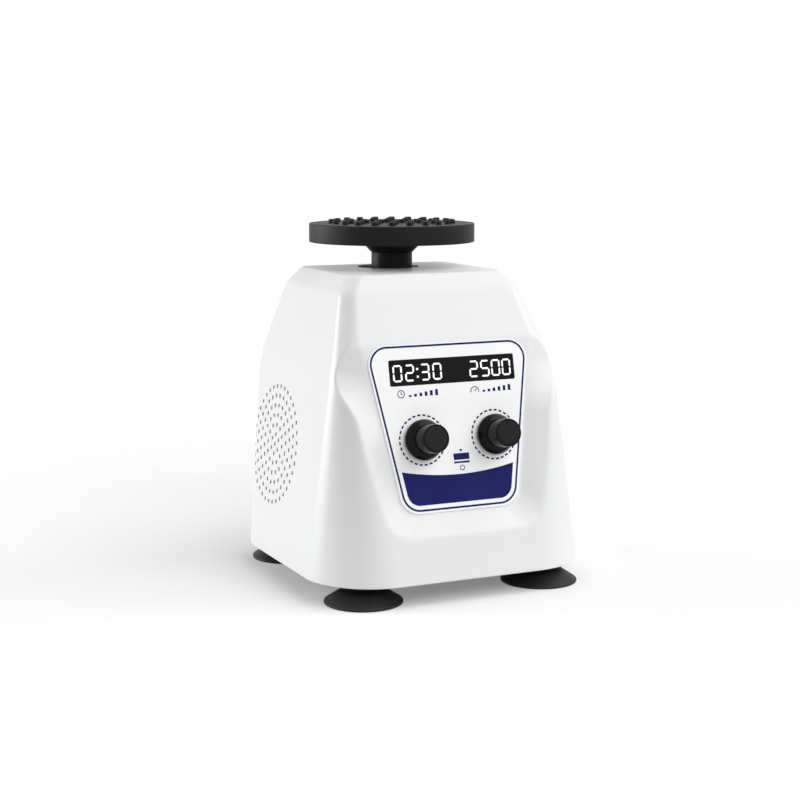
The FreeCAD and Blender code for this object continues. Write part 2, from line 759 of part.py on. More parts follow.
def mounting():
    """Columns and rubber dampers that carry the motor's plate."""
    columns = []
    for x, y in COLUMN_SPOTS:
        bar = cylinder("column_radius", f"{COLUMN_TOP} - {PLATE_TOP}", upright(x, y, PLATE_TOP))
        low = cylinder("mount_screw_radius + fit", "mount_screw_bite", upright(x, y, PLATE_TOP))
        high = cylinder("mount_screw_radius + fit", "mount_screw_bite",
                        upright(x, y, f"{COLUMN_TOP} - mount_screw_bite"))
        columns.append(cut(bar, low, high))
    node("mount_columns", *columns)
    node("mount_dampers", *[tube("damper_radius", "mount_screw_radius + hole_gap", "damper_height",
                                 upright(x, y, COLUMN_TOP)) for x, y in COLUMN_SPOTS])
    node("column_screws_lower", *[screw("mount_head_radius", "mount_head_height", "mount_screw_radius",
                                        "plate_thick + mount_screw_bite", upright(x, y, "rim_z"))
                                  for x, y in COLUMN_SPOTS])
    down = Rotation(Vector(1, 0, 0), 180)
    node("column_screws_upper", *[screw("mount_head_radius", "mount_head_height", "mount_screw_radius",
                                        "carrier_thick + damper_height + mount_screw_bite",
                                        Placement(spot(x, y, CARRIER_TOP), down)) for x, y in COLUMN_SPOTS])
    half_width = f"({COLUMN_X} + damper_radius + carrier_margin)"
    half_depth = f"({COLUMN_Y} + damper_radius + carrier_margin)"
    sheet_metal = plate(half_width, half_width, f"0 - {half_depth}", half_depth, "carrier_corner",
                        "carrier_corner", "carrier_thick", upright("0", "axis_y", CARRIER_Z))
    holes = [cylinder("mount_screw_radius + hole_gap", "carrier_thick", upright(x, y, CARRIER_Z))
             for x, y in COLUMN_SPOTS + MOTOR_SPOTS]
    bore = cylinder("carrier_bore", "carrier_thick", upright("0", "axis_y", CARRIER_Z))
    node("motor_carrier", cut(sheet_metal, bore, *holes))
    node("motor_screws", *[screw("mount_head_radius", "mount_head_height", "mount_screw_radius",
                                 "carrier_thick + motor_screw_bite", Placement(spot(x, y, CARRIER_TOP), down))
                           for x, y in MOTOR_SPOTS])


def motor():
    """Brushless motor: two bells, a can, a stator and two ball bearings around the turning shaft."""
    centre = ("0", "axis_y")
    shaft_hole = "shaft_radius + hole_gap"
    front = cylinder("motor_radius", "bell_height", upright(*centre, CAN_TOP))
    front_seat = cylinder("ball_bearing_radius + fit", "bell_height - bell_skin", upright(*centre, CAN_TOP))
    front_hole = cylinder(shaft_hole, "bell_height", upright(*centre, CAN_TOP))
    taps = [cylinder("mount_screw_radius + fit", "motor_screw_bite",
                     upright(x, y, f"{CARRIER_Z} - motor_screw_bite")) for x, y in MOTOR_SPOTS]
    node("motor_front_bell", cut(front, front_seat, front_hole, *taps))
    rear = cylinder("motor_radius", "bell_height", upright(*centre, MOTOR_Z))
    rear_seat = cylinder("ball_bearing_radius + fit", "bell_height - bell_skin",
                         upright(*centre, f"{MOTOR_Z} + bell_skin"))
    node("motor_rear_bell", cut(rear, rear_seat))
    node("motor_can", tube("motor_radius", "motor_radius - motor_can_wall", "motor_can_height",
                           upright(*centre, CAN_Z)))
    core_z = f"{CAN_Z} + core_margin"
    node("stator_core", tube("motor_radius - motor_can_wall - fit", "stator_bore", "core_height",
                             upright(*centre, core_z)))
    for name, z in (("upper", f"{CAN_TOP} + bell_height - bell_skin - ball_bearing_height"),
                    ("lower", f"{MOTOR_Z} + bell_skin")):
        node(f"motor_bearing_{name}", tube("ball_bearing_radius", "shaft_radius + running_gap",
                                           "ball_bearing_height", upright(*centre, z)))
    shaft_z = f"({MOTOR_Z} + bell_skin + shaft_end_gap)"
    node("motor_shaft", cylinder("shaft_radius", f"{HUB_TOP} - hub_roof - {shaft_z}",
                                 upright(*centre, shaft_z)))
    node("rotor_core", tube("stator_bore - core_gap", "shaft_radius + fit", "core_height",
                            upright(*centre, core_z)))


# Eccentric drive and orbiting head

def eccentric():
    """Hub on the motor shaft with an offset pin, and the weight that balances the head."""
    disc = cylinder("hub_radius", "hub_height", upright("0", "axis_y", HUB_Z))
    collar = cylinder("pin_collar_radius", "pin_collar_height", upright("eccentricity", "axis_y", HUB_TOP))
    pin = cylinder("pin_radius", f"{NECK_ROOF_Z} - circlip_height - {HUB_TOP}",
                   upright("eccentricity", "axis_y", HUB_TOP))
    bore = cylinder("shaft_radius + fit", "hub_height - hub_roof", upright("0", "axis_y", HUB_Z))
    grub_z = f"{HUB_Z} + weight_height / 2"
    grub_place = Placement(spot("shaft_radius + fit", "axis_y", grub_z), SIDEWAYS)
    grub_length = "hub_radius - shaft_radius - fit"
    weight_screw_place = Placement(spot("0 - weight_radius + weight_cut", "axis_y", grub_z), SIDEWAYS)
    weight_screw_length = "weight_radius - weight_cut - shaft_radius - fit * 2"
    grub_holes = [cylinder("grub_radius + fit", grub_length, grub_place),
                  cylinder("grub_radius + fit", "weight_radius", Placement(spot(
                      "0 - weight_radius - shaft_radius", "axis_y", grub_z), SIDEWAYS))]
    node("eccentric_hub", cut(fuse(disc, collar, pin), bore, *grub_holes))
    node("hub_grub_screw", cylinder("grub_radius", grub_length, grub_place))
    ring = tube("weight_radius", "hub_radius + fit", "weight_height", upright("0", "axis_y", HUB_Z))
    front_half = block("weight_radius * 2", "weight_radius * 2", "weight_height",
                       upright("weight_radius - weight_cut", "axis_y", HUB_Z))
    node("counterweight", cut(ring, front_half, grub_holes[1]))
    node("counterweight_screw", cylinder("grub_radius", weight_screw_length, weight_screw_place))


def head():
    """Head that rides on the eccentric pin: neck, bearings, and the studded platform."""
    centre = ("eccentricity", "axis_y")
    neck = revolved([
        ("neck_bearing_radius + fit", NECK_Z),
        ("neck_radius", NECK_Z),
        ("neck_radius", f"{PLATFORM_Z} - flange_height"),
        ("flange_radius", PLATFORM_Z),
        ("spigot_radius", PLATFORM_Z),
        ("spigot_radius", f"{PLATFORM_Z} + spigot_height"),
        ("0", f"{PLATFORM_Z} + spigot_height"),
        ("0", NECK_ROOF_Z),
        ("neck_bearing_radius + fit", NECK_ROOF_Z),
    ], upright(*centre))
    node("neck", neck)
    for name, z in (("lower", LOWER_BEARING_Z), ("upper", UPPER_BEARING_Z)):
        node(f"neck_bearing_{name}", tube("neck_bearing_radius", "pin_radius + running_gap",
                                          "neck_bearing_height", upright(*centre, z)))
    sleeve_z = f"{LOWER_BEARING_Z} + neck_bearing_height"
    node("bearing_sleeve", tube("neck_bearing_radius", "neck_bearing_radius - spacer_sleeve_wall",
                                f"{UPPER_BEARING_Z} - ({sleeve_z})", upright(*centre, sleeve_z)))
    node("neck_circlip", tube("neck_bearing_radius", "neck_bearing_radius - circlip_width", "circlip_height",
                              upright(*centre, NECK_Z)))
    node("platform_insert", tube("insert_radius", "spigot_radius + fit", "insert_height",
                                 upright(*centre, PLATFORM_Z)))
    pocket_roof = f"{PLATFORM_Z} + spigot_height + fit"
    disc = revolved([
        ("insert_radius + fit", PLATFORM_Z),
        ("platform_radius", PLATFORM_Z),
        ("platform_radius", f"{PLATFORM_TOP} - platform_round"),
        ("platform_radius - platform_round", PLATFORM_TOP),
        ("0", PLATFORM_TOP),
        ("0", pocket_roof),
        ("insert_radius + fit", pocket_roof),
    ], upright(*centre))
    studs = [cylinder("grip_stud_radius", "grip_stud_height + platform_round",
                      upright(f"eccentricity + {x}", f"axis_y + {y}", f"{PLATFORM_TOP} - platform_round"))
             for x, y in ring_spots("stud_rings", "stud_circle", FIRST_STUDS, "stud_pitch")]
    node("platform", fuse(disc, *studs))


def boot():
    """Rubber boot from the housing's collar to the neck, and the band that clamps it."""
    skirt_top = f"({COLLAR_Z} + boot_skirt)"
    skirt = "neck_hole_radius + collar_wall + fit"

    def funnel(grow, rise):
        """Skin from the cuff on the offset neck out to the skirt on the fixed collar."""
        body = new_body()
        rings = [(f"neck_radius + fit + {grow}", "eccentricity", CUFF_Z),
                 (f"neck_radius + fit + {grow}", "eccentricity", f"{WEB_Z} + {rise}"),
                 (f"{skirt} + {grow}", "0", f"{COLLAR_Z} + {rise} - boot_wall"),
                 (f"{skirt} + {grow}", "0", skirt_top)]
        loft(body, [circle_at(body, radius, x, "axis_y", z) for radius, x, z in rings])
        return body

    node("neck_boot", cut(funnel("boot_wall", "0"), funnel("0", "boot_wall")))
    node("boot_clamp", tube(f"{skirt} + boot_wall + fit + clamp_thick", f"{skirt} + boot_wall + fit",
                            "clamp_height", upright("0", "axis_y", f"{COLLAR_Z} + boot_wall")))


# Control panel

def panel():
    """Printed overlay, display and control board behind the panel."""
    face = plate("overlay_low", "overlay_high", "0 - overlay_drop", "overlay_rise", "overlay_corner_low",
                 "overlay_corner_high", "overlay_thick", on_panel())
    knob_holes = [cylinder("bushing_nut_radius + overlay_hole_gap", "overlay_thick", on_panel(x, v))
                  for x, v in KNOB_SPOTS.values()]
    node("panel_overlay", cut(face, window_plate("window_fit", "wall"), *knob_holes))
    node("display_window", window_plate("0", "window_proud"))
    node("display_module", plate(MODULE_HALF_WIDTH, MODULE_HALF_WIDTH, "0 - module_half_height",
                                 "module_half_height", "window_corner", "window_corner",
                                 "board_depth - wall - window_fit",
                                 on_panel("control_shift", "window_centre", BOARD_FRONT)))
    back = on_panel(w=f"{BOARD_FRONT} - board_thick")
    half_width = f"{SPACER_HIGH_X} + board_margin"
    board = plate(half_width, half_width, "0 - spacer_low_drop - board_margin", "board_rise", "board_corner",
                  "board_corner", "board_thick", back)
    screw_places = [on_panel(x, v, f"{BOARD_FRONT} - board_thick") for x, v in SPACER_SPOTS]
    holes = [cylinder("small_screw_radius + bushing_hole_gap", "board_thick", place)
             for place in screw_places]
    node("control_board", cut(board, *holes))
    bores = [cylinder("small_screw_radius + fit", "small_screw_length", place) for place in screw_places]
    spacers = [cylinder("spacer_radius", "board_depth - wall", on_panel(x, v, BOARD_FRONT))
               for x, v in SPACER_SPOTS]
    node("board_spacers", *[cut(spacer, bore) for spacer, bore in zip(spacers, bores)])
    node("board_screws", *[screw("small_head_radius", "small_head_height", "small_screw_radius",
                                 "small_screw_length", place) for place in screw_places])


def encoders():
    """Push encoders on the board, each with a sprung plunger, a turning shaft and a knob."""
    chamber = "encoder_floor"
    chamber_top = f"({chamber} + push_room + plunger_thick)"
    nuts = []
    for name, (x, v) in KNOB_SPOTS.items():
        foot = on_panel(x, v, BOARD_FRONT)
        case = block("encoder_width", "encoder_width", "encoder_height", foot)
        bushing = cylinder("bushing_radius", "board_depth + bushing_proud - encoder_height",
                           along(foot, "encoder_height"))
        room = cylinder("plunger_radius + plunger_gap", "push_room + plunger_thick", along(foot, chamber))
        bore = cylinder("encoder_shaft_radius + encoder_shaft_gap", "board_depth + bushing_proud",
                        along(foot, chamber))
        node(f"{name}_encoder", cut(fuse(case, bushing), room, bore))
        node(f"{name}_plunger", cylinder("plunger_radius", "plunger_thick",
                                         along(foot, f"{chamber_top} - plunger_thick - encoder_shaft_gap")))
        shaft_length = f"board_depth + knob_height - knob_crown - {chamber_top}"
        node(f"{name}_shaft", cylinder("encoder_shaft_radius", shaft_length, along(foot, chamber_top)))
        nuts.append(nut("bushing_nut_radius", "bushing_nut_height", "bushing_radius + fit", on_panel(x, v)))
        knob(name, on_panel(x, v))
    node("encoder_nuts", *nuts)


def knob(name, place):
    """Skirted knob with a plain cap in its face."""
    grip_z = "knob_lift + skirt_height"
    profile = [
        ("encoder_shaft_radius + fit", "knob_lift + knob_hollow_depth"),
        ("knob_hollow_radius", "knob_lift + knob_hollow_depth"),
        ("skirt_radius - skirt_wall", "knob_lift"),
        ("skirt_radius", "knob_lift"),
        ("skirt_radius", "knob_lift + skirt_edge"),
        ("skirt_bend_radius", "knob_lift + skirt_bend_height"),
        ("grip_foot_radius", grip_z),
        ("grip_radius", "knob_height - knob_bevel"),
        ("grip_radius - knob_bevel", "knob_height"),
        ("cap_radius + fit", "knob_height"),
        ("cap_radius + fit", "knob_height - cap_thick"),
        ("0", "knob_height - cap_thick"),
        ("0", "knob_height - knob_crown + fit"),
        ("encoder_shaft_radius + fit", "knob_height - knob_crown + fit"),
    ]
    node(f"{name}_knob", revolved(profile, place))
    node(f"{name}_knob_cap", cylinder("cap_radius", "cap_thick", along(place, "knob_height - cap_thick")))


# Power socket

def power_socket():
    """Round low-voltage socket in the recess of the back wall, with its pin and nut."""
    seat = Placement(spot("socket_x", SOCKET_Y, "socket_z"), BACKWARD)
    flange = cylinder("socket_flange_radius", "socket_flange_thick", seat)
    bore_end = "socket_flange_thick - socket_bore_depth"
    barrel = cylinder("socket_barrel_radius", f"socket_floor - ({bore_end})",
                      along(seat, f"{bore_end} - socket_floor"))
    mouth = along(seat, bore_end)
    bore = cylinder("socket_bore_radius", "socket_bore_depth", mouth)
    node("power_socket", cut(fuse(flange, barrel), bore))
    node("power_socket_pin", cylinder("socket_pin_radius", "socket_bore_depth - socket_flange_thick", mouth))
    nut_place = along(seat, "0 - socket_pad_thick - socket_nut_gap - socket_nut_thick")
    node("power_socket_nut", nut("socket_nut_radius", "socket_nut_thick", "socket_barrel_radius + fit",
                                 nut_place))


housing()
base_plate()
feet()
ballast()
mounting()
motor()
eccentric()
head()
boot()
panel()
encoders()
power_socket()
doc.recompute()

failed = [item.Label for item in doc.Objects if {"Invalid", "Error"} & set(item.State)]
broken = [piece.Label for piece in PARTS if piece.Shape.isNull() or not piece.Shape.isValid()]
if failed or broken:
    raise RuntimeError(f"failed objects {failed}, broken shapes {broken}")
os.makedirs("parts", exist_ok=True)
for piece in PARTS:
    piece.Shape.exportStep(f"parts/{piece.Label}.step")
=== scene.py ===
import json
import math
import bmesh
import bpy
import numpy as np
from mathutils import Matrix, Vector


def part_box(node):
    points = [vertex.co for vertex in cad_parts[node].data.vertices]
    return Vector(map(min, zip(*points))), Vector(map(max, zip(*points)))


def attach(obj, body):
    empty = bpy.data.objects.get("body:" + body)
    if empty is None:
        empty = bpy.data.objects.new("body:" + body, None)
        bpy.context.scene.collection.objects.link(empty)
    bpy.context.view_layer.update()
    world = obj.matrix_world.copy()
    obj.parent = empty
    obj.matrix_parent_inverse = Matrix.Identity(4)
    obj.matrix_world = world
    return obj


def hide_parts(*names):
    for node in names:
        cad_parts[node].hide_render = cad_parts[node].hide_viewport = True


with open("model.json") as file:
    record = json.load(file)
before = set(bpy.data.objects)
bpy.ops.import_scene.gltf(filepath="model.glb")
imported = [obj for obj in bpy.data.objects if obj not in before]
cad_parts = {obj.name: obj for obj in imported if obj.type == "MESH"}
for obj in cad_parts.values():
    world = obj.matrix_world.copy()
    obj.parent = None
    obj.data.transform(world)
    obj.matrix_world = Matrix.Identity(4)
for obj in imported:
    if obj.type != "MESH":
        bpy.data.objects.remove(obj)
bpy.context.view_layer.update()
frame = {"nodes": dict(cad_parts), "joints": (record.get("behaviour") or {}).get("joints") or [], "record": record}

# A bench-top vortex mixer. Shapes are drawn in millimetres and scaled to metres when they are made.
# +Z is up and the front faces -Y.

MM = 0.001

# Housing, at four levels: half width, reach to the front and back, corner radius, height
LEVELS = {
    "rim": {"half_width": 64.5, "front": 62.2, "back": 62.2, "corner": 31.0, "z": 9.4},
    "shoulder": {"half_width": 53.4, "front": 44.0, "back": 59.4, "corner": 10.5, "z": 95.0},
    "crown": {"half_width": 42.9, "front": 25.2, "back": 48.0, "corner": 6.5, "z": 130.0},
    "top": {"half_width": 37.0, "front": 19.1, "back": 43.2, "corner": 6.0, "z": 137.0},
}
WALL = 2.5
RIM_ROUND = 0.7
SHOULDER_EASE = 10.0
CROWN_EASE = 1.5
TOP_ROUND = 1.0

# Printed overlay on the sunken panel: reach down and up its slope, half width at each end, height of its face
OVERLAY_DROP, OVERLAY_RISE = 57.8, 14.4
OVERLAY_HALF_LOW, OVERLAY_HALF_HIGH = 27.2, 39.5
OVERLAY_TOP = 0.5
INK = 0.04

# Sunken panel: depth, outline of its floor, and how far its ramps spread
PANEL_RECESS = 4.4
FLOOR_MARGIN = 1.0
FLOOR_HALF_LOW = OVERLAY_HALF_LOW + FLOOR_MARGIN
FLOOR_DROP = OVERLAY_DROP + FLOOR_MARGIN
FLOOR_CORNER = 9.0
FLOOR_SLOPE = (OVERLAY_HALF_HIGH - OVERLAY_HALF_LOW) / (OVERLAY_RISE + OVERLAY_DROP)
POCKET_RISE = 32.0
RAMP_LOW, RAMP_HIGH, RAMP_BOTTOM = 7.4, 18.8, 9.0
RAMP_CORNER = 4.0
MOUTH_SOFTNESS = 0.5
FLOOR_SOFTNESS = 0.4
# The side ramps keep their height below the first of these, and have this share of it above the second
RAMP_TURN = (-18.0, 6.0)
RAMP_FALL = -0.9

# Display window
CONTROL_SHIFT = 1.4
WINDOW_CENTRE = 2.5
WINDOW_HALF_WIDTH = 29.9
WINDOW_HALF_HEIGHT = 5.45
WINDOW_FACE = 0.35
WINDOW_FIT = 0.15

# Other openings of the housing
NECK_HOLE_RADIUS = 14.2
COLLAR_WALL = 2.4
COLLAR_DROP = 10.5
VENT_CENTRE = (20.2, 58.9)
VENT_PITCH = 4.33
VENT_RINGS = 6
VENT_TURN = 30.0
VENT_HOLE_RADIUS = 1.0
BUSHING_HOLE_RADIUS = 3.7
SOCKET_Z = 26.0
SOCKET_SEAT_Y = 58.96
SOCKET_RECESS_RADIUS = 9.0
SOCKET_PAD_RADIUS = 11.5
SOCKET_PAD_THICK = 2.8
SOCKET_HOLE_RADIUS = 5.7
BOSS_X = 56.45
BOSS_SPOTS = [(side * BOSS_X, y) for side in (-1, 1) for y in (-22.0, 30.0)]
BOSS_RADIUS = 4.5
BOSS_LOW, BOSS_HIGH = 13.4, 31.4
PILOT_RADIUS = 1.62
PILOT_DEPTH = 12.0

# The control panel's directions: out of it, and up its slope
TILT = math.atan2(LEVELS["rim"]["front"] - LEVELS["shoulder"]["front"],
                  LEVELS["shoulder"]["z"] - LEVELS["rim"]["z"])
PANEL_OUT = np.array([0.0, -math.cos(TILT), math.sin(TILT)])
PANEL_UP = np.array([0.0, math.sin(TILT), math.cos(TILT)])
PANEL_ORIGIN = (np.array([0.0, -LEVELS["shoulder"]["front"], LEVELS["shoulder"]["z"]])
                - PANEL_RECESS * PANEL_OUT)

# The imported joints, and the upright axes of the drive and of the head
JOINTS = {joint["name"]: joint for joint in frame["joints"]}
DRIVE_AXIS = [value / MM for value in JOINTS["drive_spin"]["pos_m"]]
HEAD_AXIS = [value / MM for value in JOINTS["head_orbit"]["pos_m"]]

KNOBS = ("time", "speed")

# Studs and vents stand in rings, each with this many more than the ring inside it
RING_GAIN = 6


# Small geometry

def panel_matrix(x, v):
    """Placement in metres on the control panel, x to the right and v up its slope, with Z out of it."""
    across = np.array([1.0, 0.0, 0.0])
    spot = PANEL_ORIGIN + x * across + v * PANEL_UP
    matrix = Matrix.Identity(4)
    for index, column in enumerate((across, PANEL_UP, PANEL_OUT, spot * MM)):
        for row in range(3):
            matrix[row][index] = column[row]
    return matrix


def knob_spot(name):
    """Where a knob's axis meets the panel: x and v."""
    offset = np.array(JOINTS[f"{name}_dial"]["pos_m"]) / MM - PANEL_ORIGIN
    return offset[0], offset @ PANEL_UP


def smooth_min(first, second, softness):
    """Lower of two heights, rounded where they cross."""
    overlap = np.maximum(softness - np.abs(first - second), 0.0) / softness
    return np.minimum(first, second) - overlap * overlap * softness / 4


def filleted(corners, steps=6):
    """Closed outline from (x, y, radius) corners, with arcs at the corners."""
    points = []
    count = len(corners)
    for index, (x, y, radius) in enumerate(corners):
        here = np.array([x, y])
        before = np.array(corners[index - 1][:2]) - here
        after = np.array(corners[(index + 1) % count][:2]) - here
        if radius == 0:
            points.append(tuple(here))
            continue
        before = before / np.linalg.norm(before)
        after = after / np.linalg.norm(after)
        half = math.acos(max(-1.0, min(1.0, float(before @ after)))) / 2
        middle = (before + after) / np.linalg.norm(before + after)
        centre = here + middle * radius / math.sin(half)
        start = here + before * radius / math.tan(half) - centre
        end = here + after * radius / math.tan(half) - centre
        first = math.atan2(start[1], start[0])
        turn = (math.atan2(end[1], end[0]) - first + math.pi) % (2 * math.pi) - math.pi
        for step in range(steps + 1):
            angle = first + turn * step / steps
            points.append((centre[0] + radius * math.cos(angle), centre[1] + radius * math.sin(angle)))
    return points


def circle(radius, centre=(0.0, 0.0), count=64):
    """Closed round outline."""
    return [(centre[0] + radius * math.cos(2 * math.pi * step / count),
             centre[1] + radius * math.sin(2 * math.pi * step / count)) for step in range(count)]


def ring_spots(rings, first_radius, first_count, pitch, turn=0.0):
    """Offsets of the spots in a run of rings, each with more spots than the ring inside it."""
    spots = []
    for ring in range(rings):
        count = first_count + RING_GAIN * ring
        radius = first_radius + pitch * ring
        for step in range(count):
            angle = math.radians(turn + 360 * step / count)
            spots.append((radius * math.cos(angle), radius * math.sin(angle)))
    return spots


# Meshes

class Shape:
    """Points and faces that become one mesh."""

    def __init__(self):
        self.points = []
        self.faces = []

    def slab(self, outline, low, high):
        """Closed outline raised from one height to another."""
        base = len(self.points)
        count = len(outline)
        self.points += [(x, y, low) for x, y in outline] + [(x, y, high) for x, y in outline]
        self.faces.append([base + index for index in reversed(range(count))])
        self.faces.append([base + count + index for index in range(count)])
        for index in range(count):
            after = (index + 1) % count
            self.faces.append([base + index, base + after, base + count + after, base + count + index])
        return self

    def band(self, outer, inner, low, high):
        """Ring between two outlines of as many points, raised from one height to another."""
        count = len(outer)
        loops = []
        for outline, height in ((outer, low), (outer, high), (inner, high), (inner, low)):
            loops.append(len(self.points))
            self.points += [(x, y, height) for x, y in outline]
        for loop in range(4):
            start, end = loops[loop], loops[(loop + 1) % 4]
            for index in range(count):
                after = (index + 1) % count
                self.faces.append([start + index, start + after, end + after, end + index])
        return self

    def lathe(self, profile, segments=96, centre=(0.0, 0.0)):
        """Closed (radius, height) profile turned about an upright axis."""
        base = len(self.points)
        count = len(profile)
        for step in range(segments):
            angle = 2 * math.pi * step / segments
            along = (math.cos(angle), math.sin(angle))
            self.points += [(centre[0] + radius * along[0], centre[1] + radius * along[1], height)
                            for radius, height in profile]
        for step in range(segments):
            here, there = base + step * count, base + (step + 1) % segments * count
            for index in range(count):
                after = (index + 1) % count
                self.faces.append([here + index, there + index, there + after, here + after])
        return self


# Points nearer than this are joined, in metres; edges sharper than this angle in degrees stay sharp
JOIN_REACH = 1e-7
SHARP_ANGLE = 38
HOUSING_SHARP_ANGLE = 32


def make_mesh(name, points, faces, matrix=None):
    """Clean mesh in metres, from points in millimetres."""
    mesh = bpy.data.meshes.new(name)
    mesh.from_pydata([tuple(MM * value for value in point) for point in points], [], faces)
    work = bmesh.new()
    work.from_mesh(mesh)
    bmesh.ops.remove_doubles(work, verts=work.verts, dist=JOIN_REACH)
    bmesh.ops.dissolve_degenerate(work, edges=work.edges, dist=JOIN_REACH)
    bmesh.ops.recalc_face_normals(work, faces=work.faces)
    work.to_mesh(mesh)
    work.free()
    if matrix is not None:
        mesh.transform(matrix)
    return mesh


def piece(name, mesh, body, material, replaces=(), sharp_angle=SHARP_ANGLE):
    """Finished piece that rides on a body, smooth apart from its sharp edges."""
    mesh.shade_smooth()
    mesh.set_sharp_from_angle(angle=math.radians(sharp_angle))
    made = bpy.data.objects.new(name, mesh)
    bpy.context.scene.collection.objects.link(made)
    made.data.materials.append(material)
    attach(made, body)
    if replaces:
        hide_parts(*replaces)


def shape_piece(name, shape, body, material, replaces=(), matrix=None):
    """Finished piece from a shape drawn in millimetres."""
    piece(name, make_mesh(name, shape.points, shape.faces, matrix), body, material, replaces)


# Materials

# Range of a noise's values that a colour or roughness follows, and the detail of patches and grain
NOISE_LOW, NOISE_HIGH = 0.3, 0.7
PATCH_DETAIL, GRAIN_DETAIL = 4.0, 2.0
METAL_PATCH = 140.0
WHITE = (1.0, 1.0, 1.0, 1.0)
DIGIT_GLOW = 0.45


class Finish:
    """Surface with its own shader nodes."""

    def __init__(self, name, **settings):
        self.material = bpy.data.materials.new(name)
        self.material.use_nodes = True
        self.nodes = self.material.node_tree.nodes
        self.links = self.material.node_tree.links
        self.shader = self.nodes["Principled BSDF"]
        for socket, setting in settings.items():
            self.shader.inputs[socket.replace("_", " ")].default_value = setting
        self.place = self.nodes.new("ShaderNodeTexCoord").outputs["Object"]

    def noise(self, scale, detail=3.0):
        """Noise over the object's own space, with a scale in waves per metre."""
        texture = self.nodes.new("ShaderNodeTexNoise")
        texture.inputs["Scale"].default_value = scale
        texture.inputs["Detail"].default_value = detail
        self.links.new(self.place, texture.inputs["Vector"])
        return texture.outputs["Fac"]

    def spread(self, factor, low, high):
        """Number that follows a factor from one value to another."""
        node = self.nodes.new("ShaderNodeMapRange")
        node.inputs["From Min"].default_value = NOISE_LOW
        node.inputs["From Max"].default_value = NOISE_HIGH
        node.inputs["To Min"].default_value = low
        node.inputs["To Max"].default_value = high
        self.links.new(factor, node.inputs["Value"])
        return node.outputs["Result"]

    def colours(self, factor, low, high):
        """Base colour that follows a factor between two colours."""
        ramp = self.nodes.new("ShaderNodeValToRGB")
        ramp.color_ramp.elements[0].position = NOISE_LOW
        ramp.color_ramp.elements[1].position = NOISE_HIGH
        ramp.color_ramp.elements[0].color = (*low, 1.0)
        ramp.color_ramp.elements[1].color = (*high, 1.0)
        self.links.new(factor, ramp.inputs["Fac"])
        self.links.new(ramp.outputs["Color"], self.shader.inputs["Base Color"])

    def rough(self, factor, low, high):
        """Roughness that follows a factor."""
        self.links.new(self.spread(factor, low, high), self.shader.inputs["Roughness"])

    def bump(self, factor, depth):
        """Fine relief with a depth in metres."""
        node = self.nodes.new("ShaderNodeBump")
        node.inputs["Strength"].default_value = 1.0
        node.inputs["Distance"].default_value = depth
        self.links.new(factor, node.inputs["Height"])
        self.links.new(node.outputs["Normal"], self.shader.inputs["Normal"])


def grained(name, low, high, rough, grain, depth, patch=60.0, **settings):
    """Surface with patchy colour and roughness and a fine grain."""
    finish = Finish(name, **settings)
    patches = finish.noise(patch, PATCH_DETAIL)
    finish.colours(patches, low, high)
    finish.rough(patches, *rough)
    finish.bump(finish.noise(grain, GRAIN_DETAIL), depth)
    return finish.material


def metal(name, low, high, rough, grain=2600.0, depth=2e-6):
    """Bare metal with a fine grain."""
    return grained(name, low, high, rough, grain, depth, patch=METAL_PATCH, Metallic=1.0)


def lit(name):
    """Lit display segments, a little uneven."""
    finish = Finish(name, Roughness=0.3)
    finish.colours(finish.noise(900.0, 1.0), (0.78, 0.8, 0.8), (0.86, 0.88, 0.88))
    finish.shader.inputs["Emission Color"].default_value = WHITE
    finish.shader.inputs["Emission Strength"].default_value = DIGIT_GLOW
    return finish.material


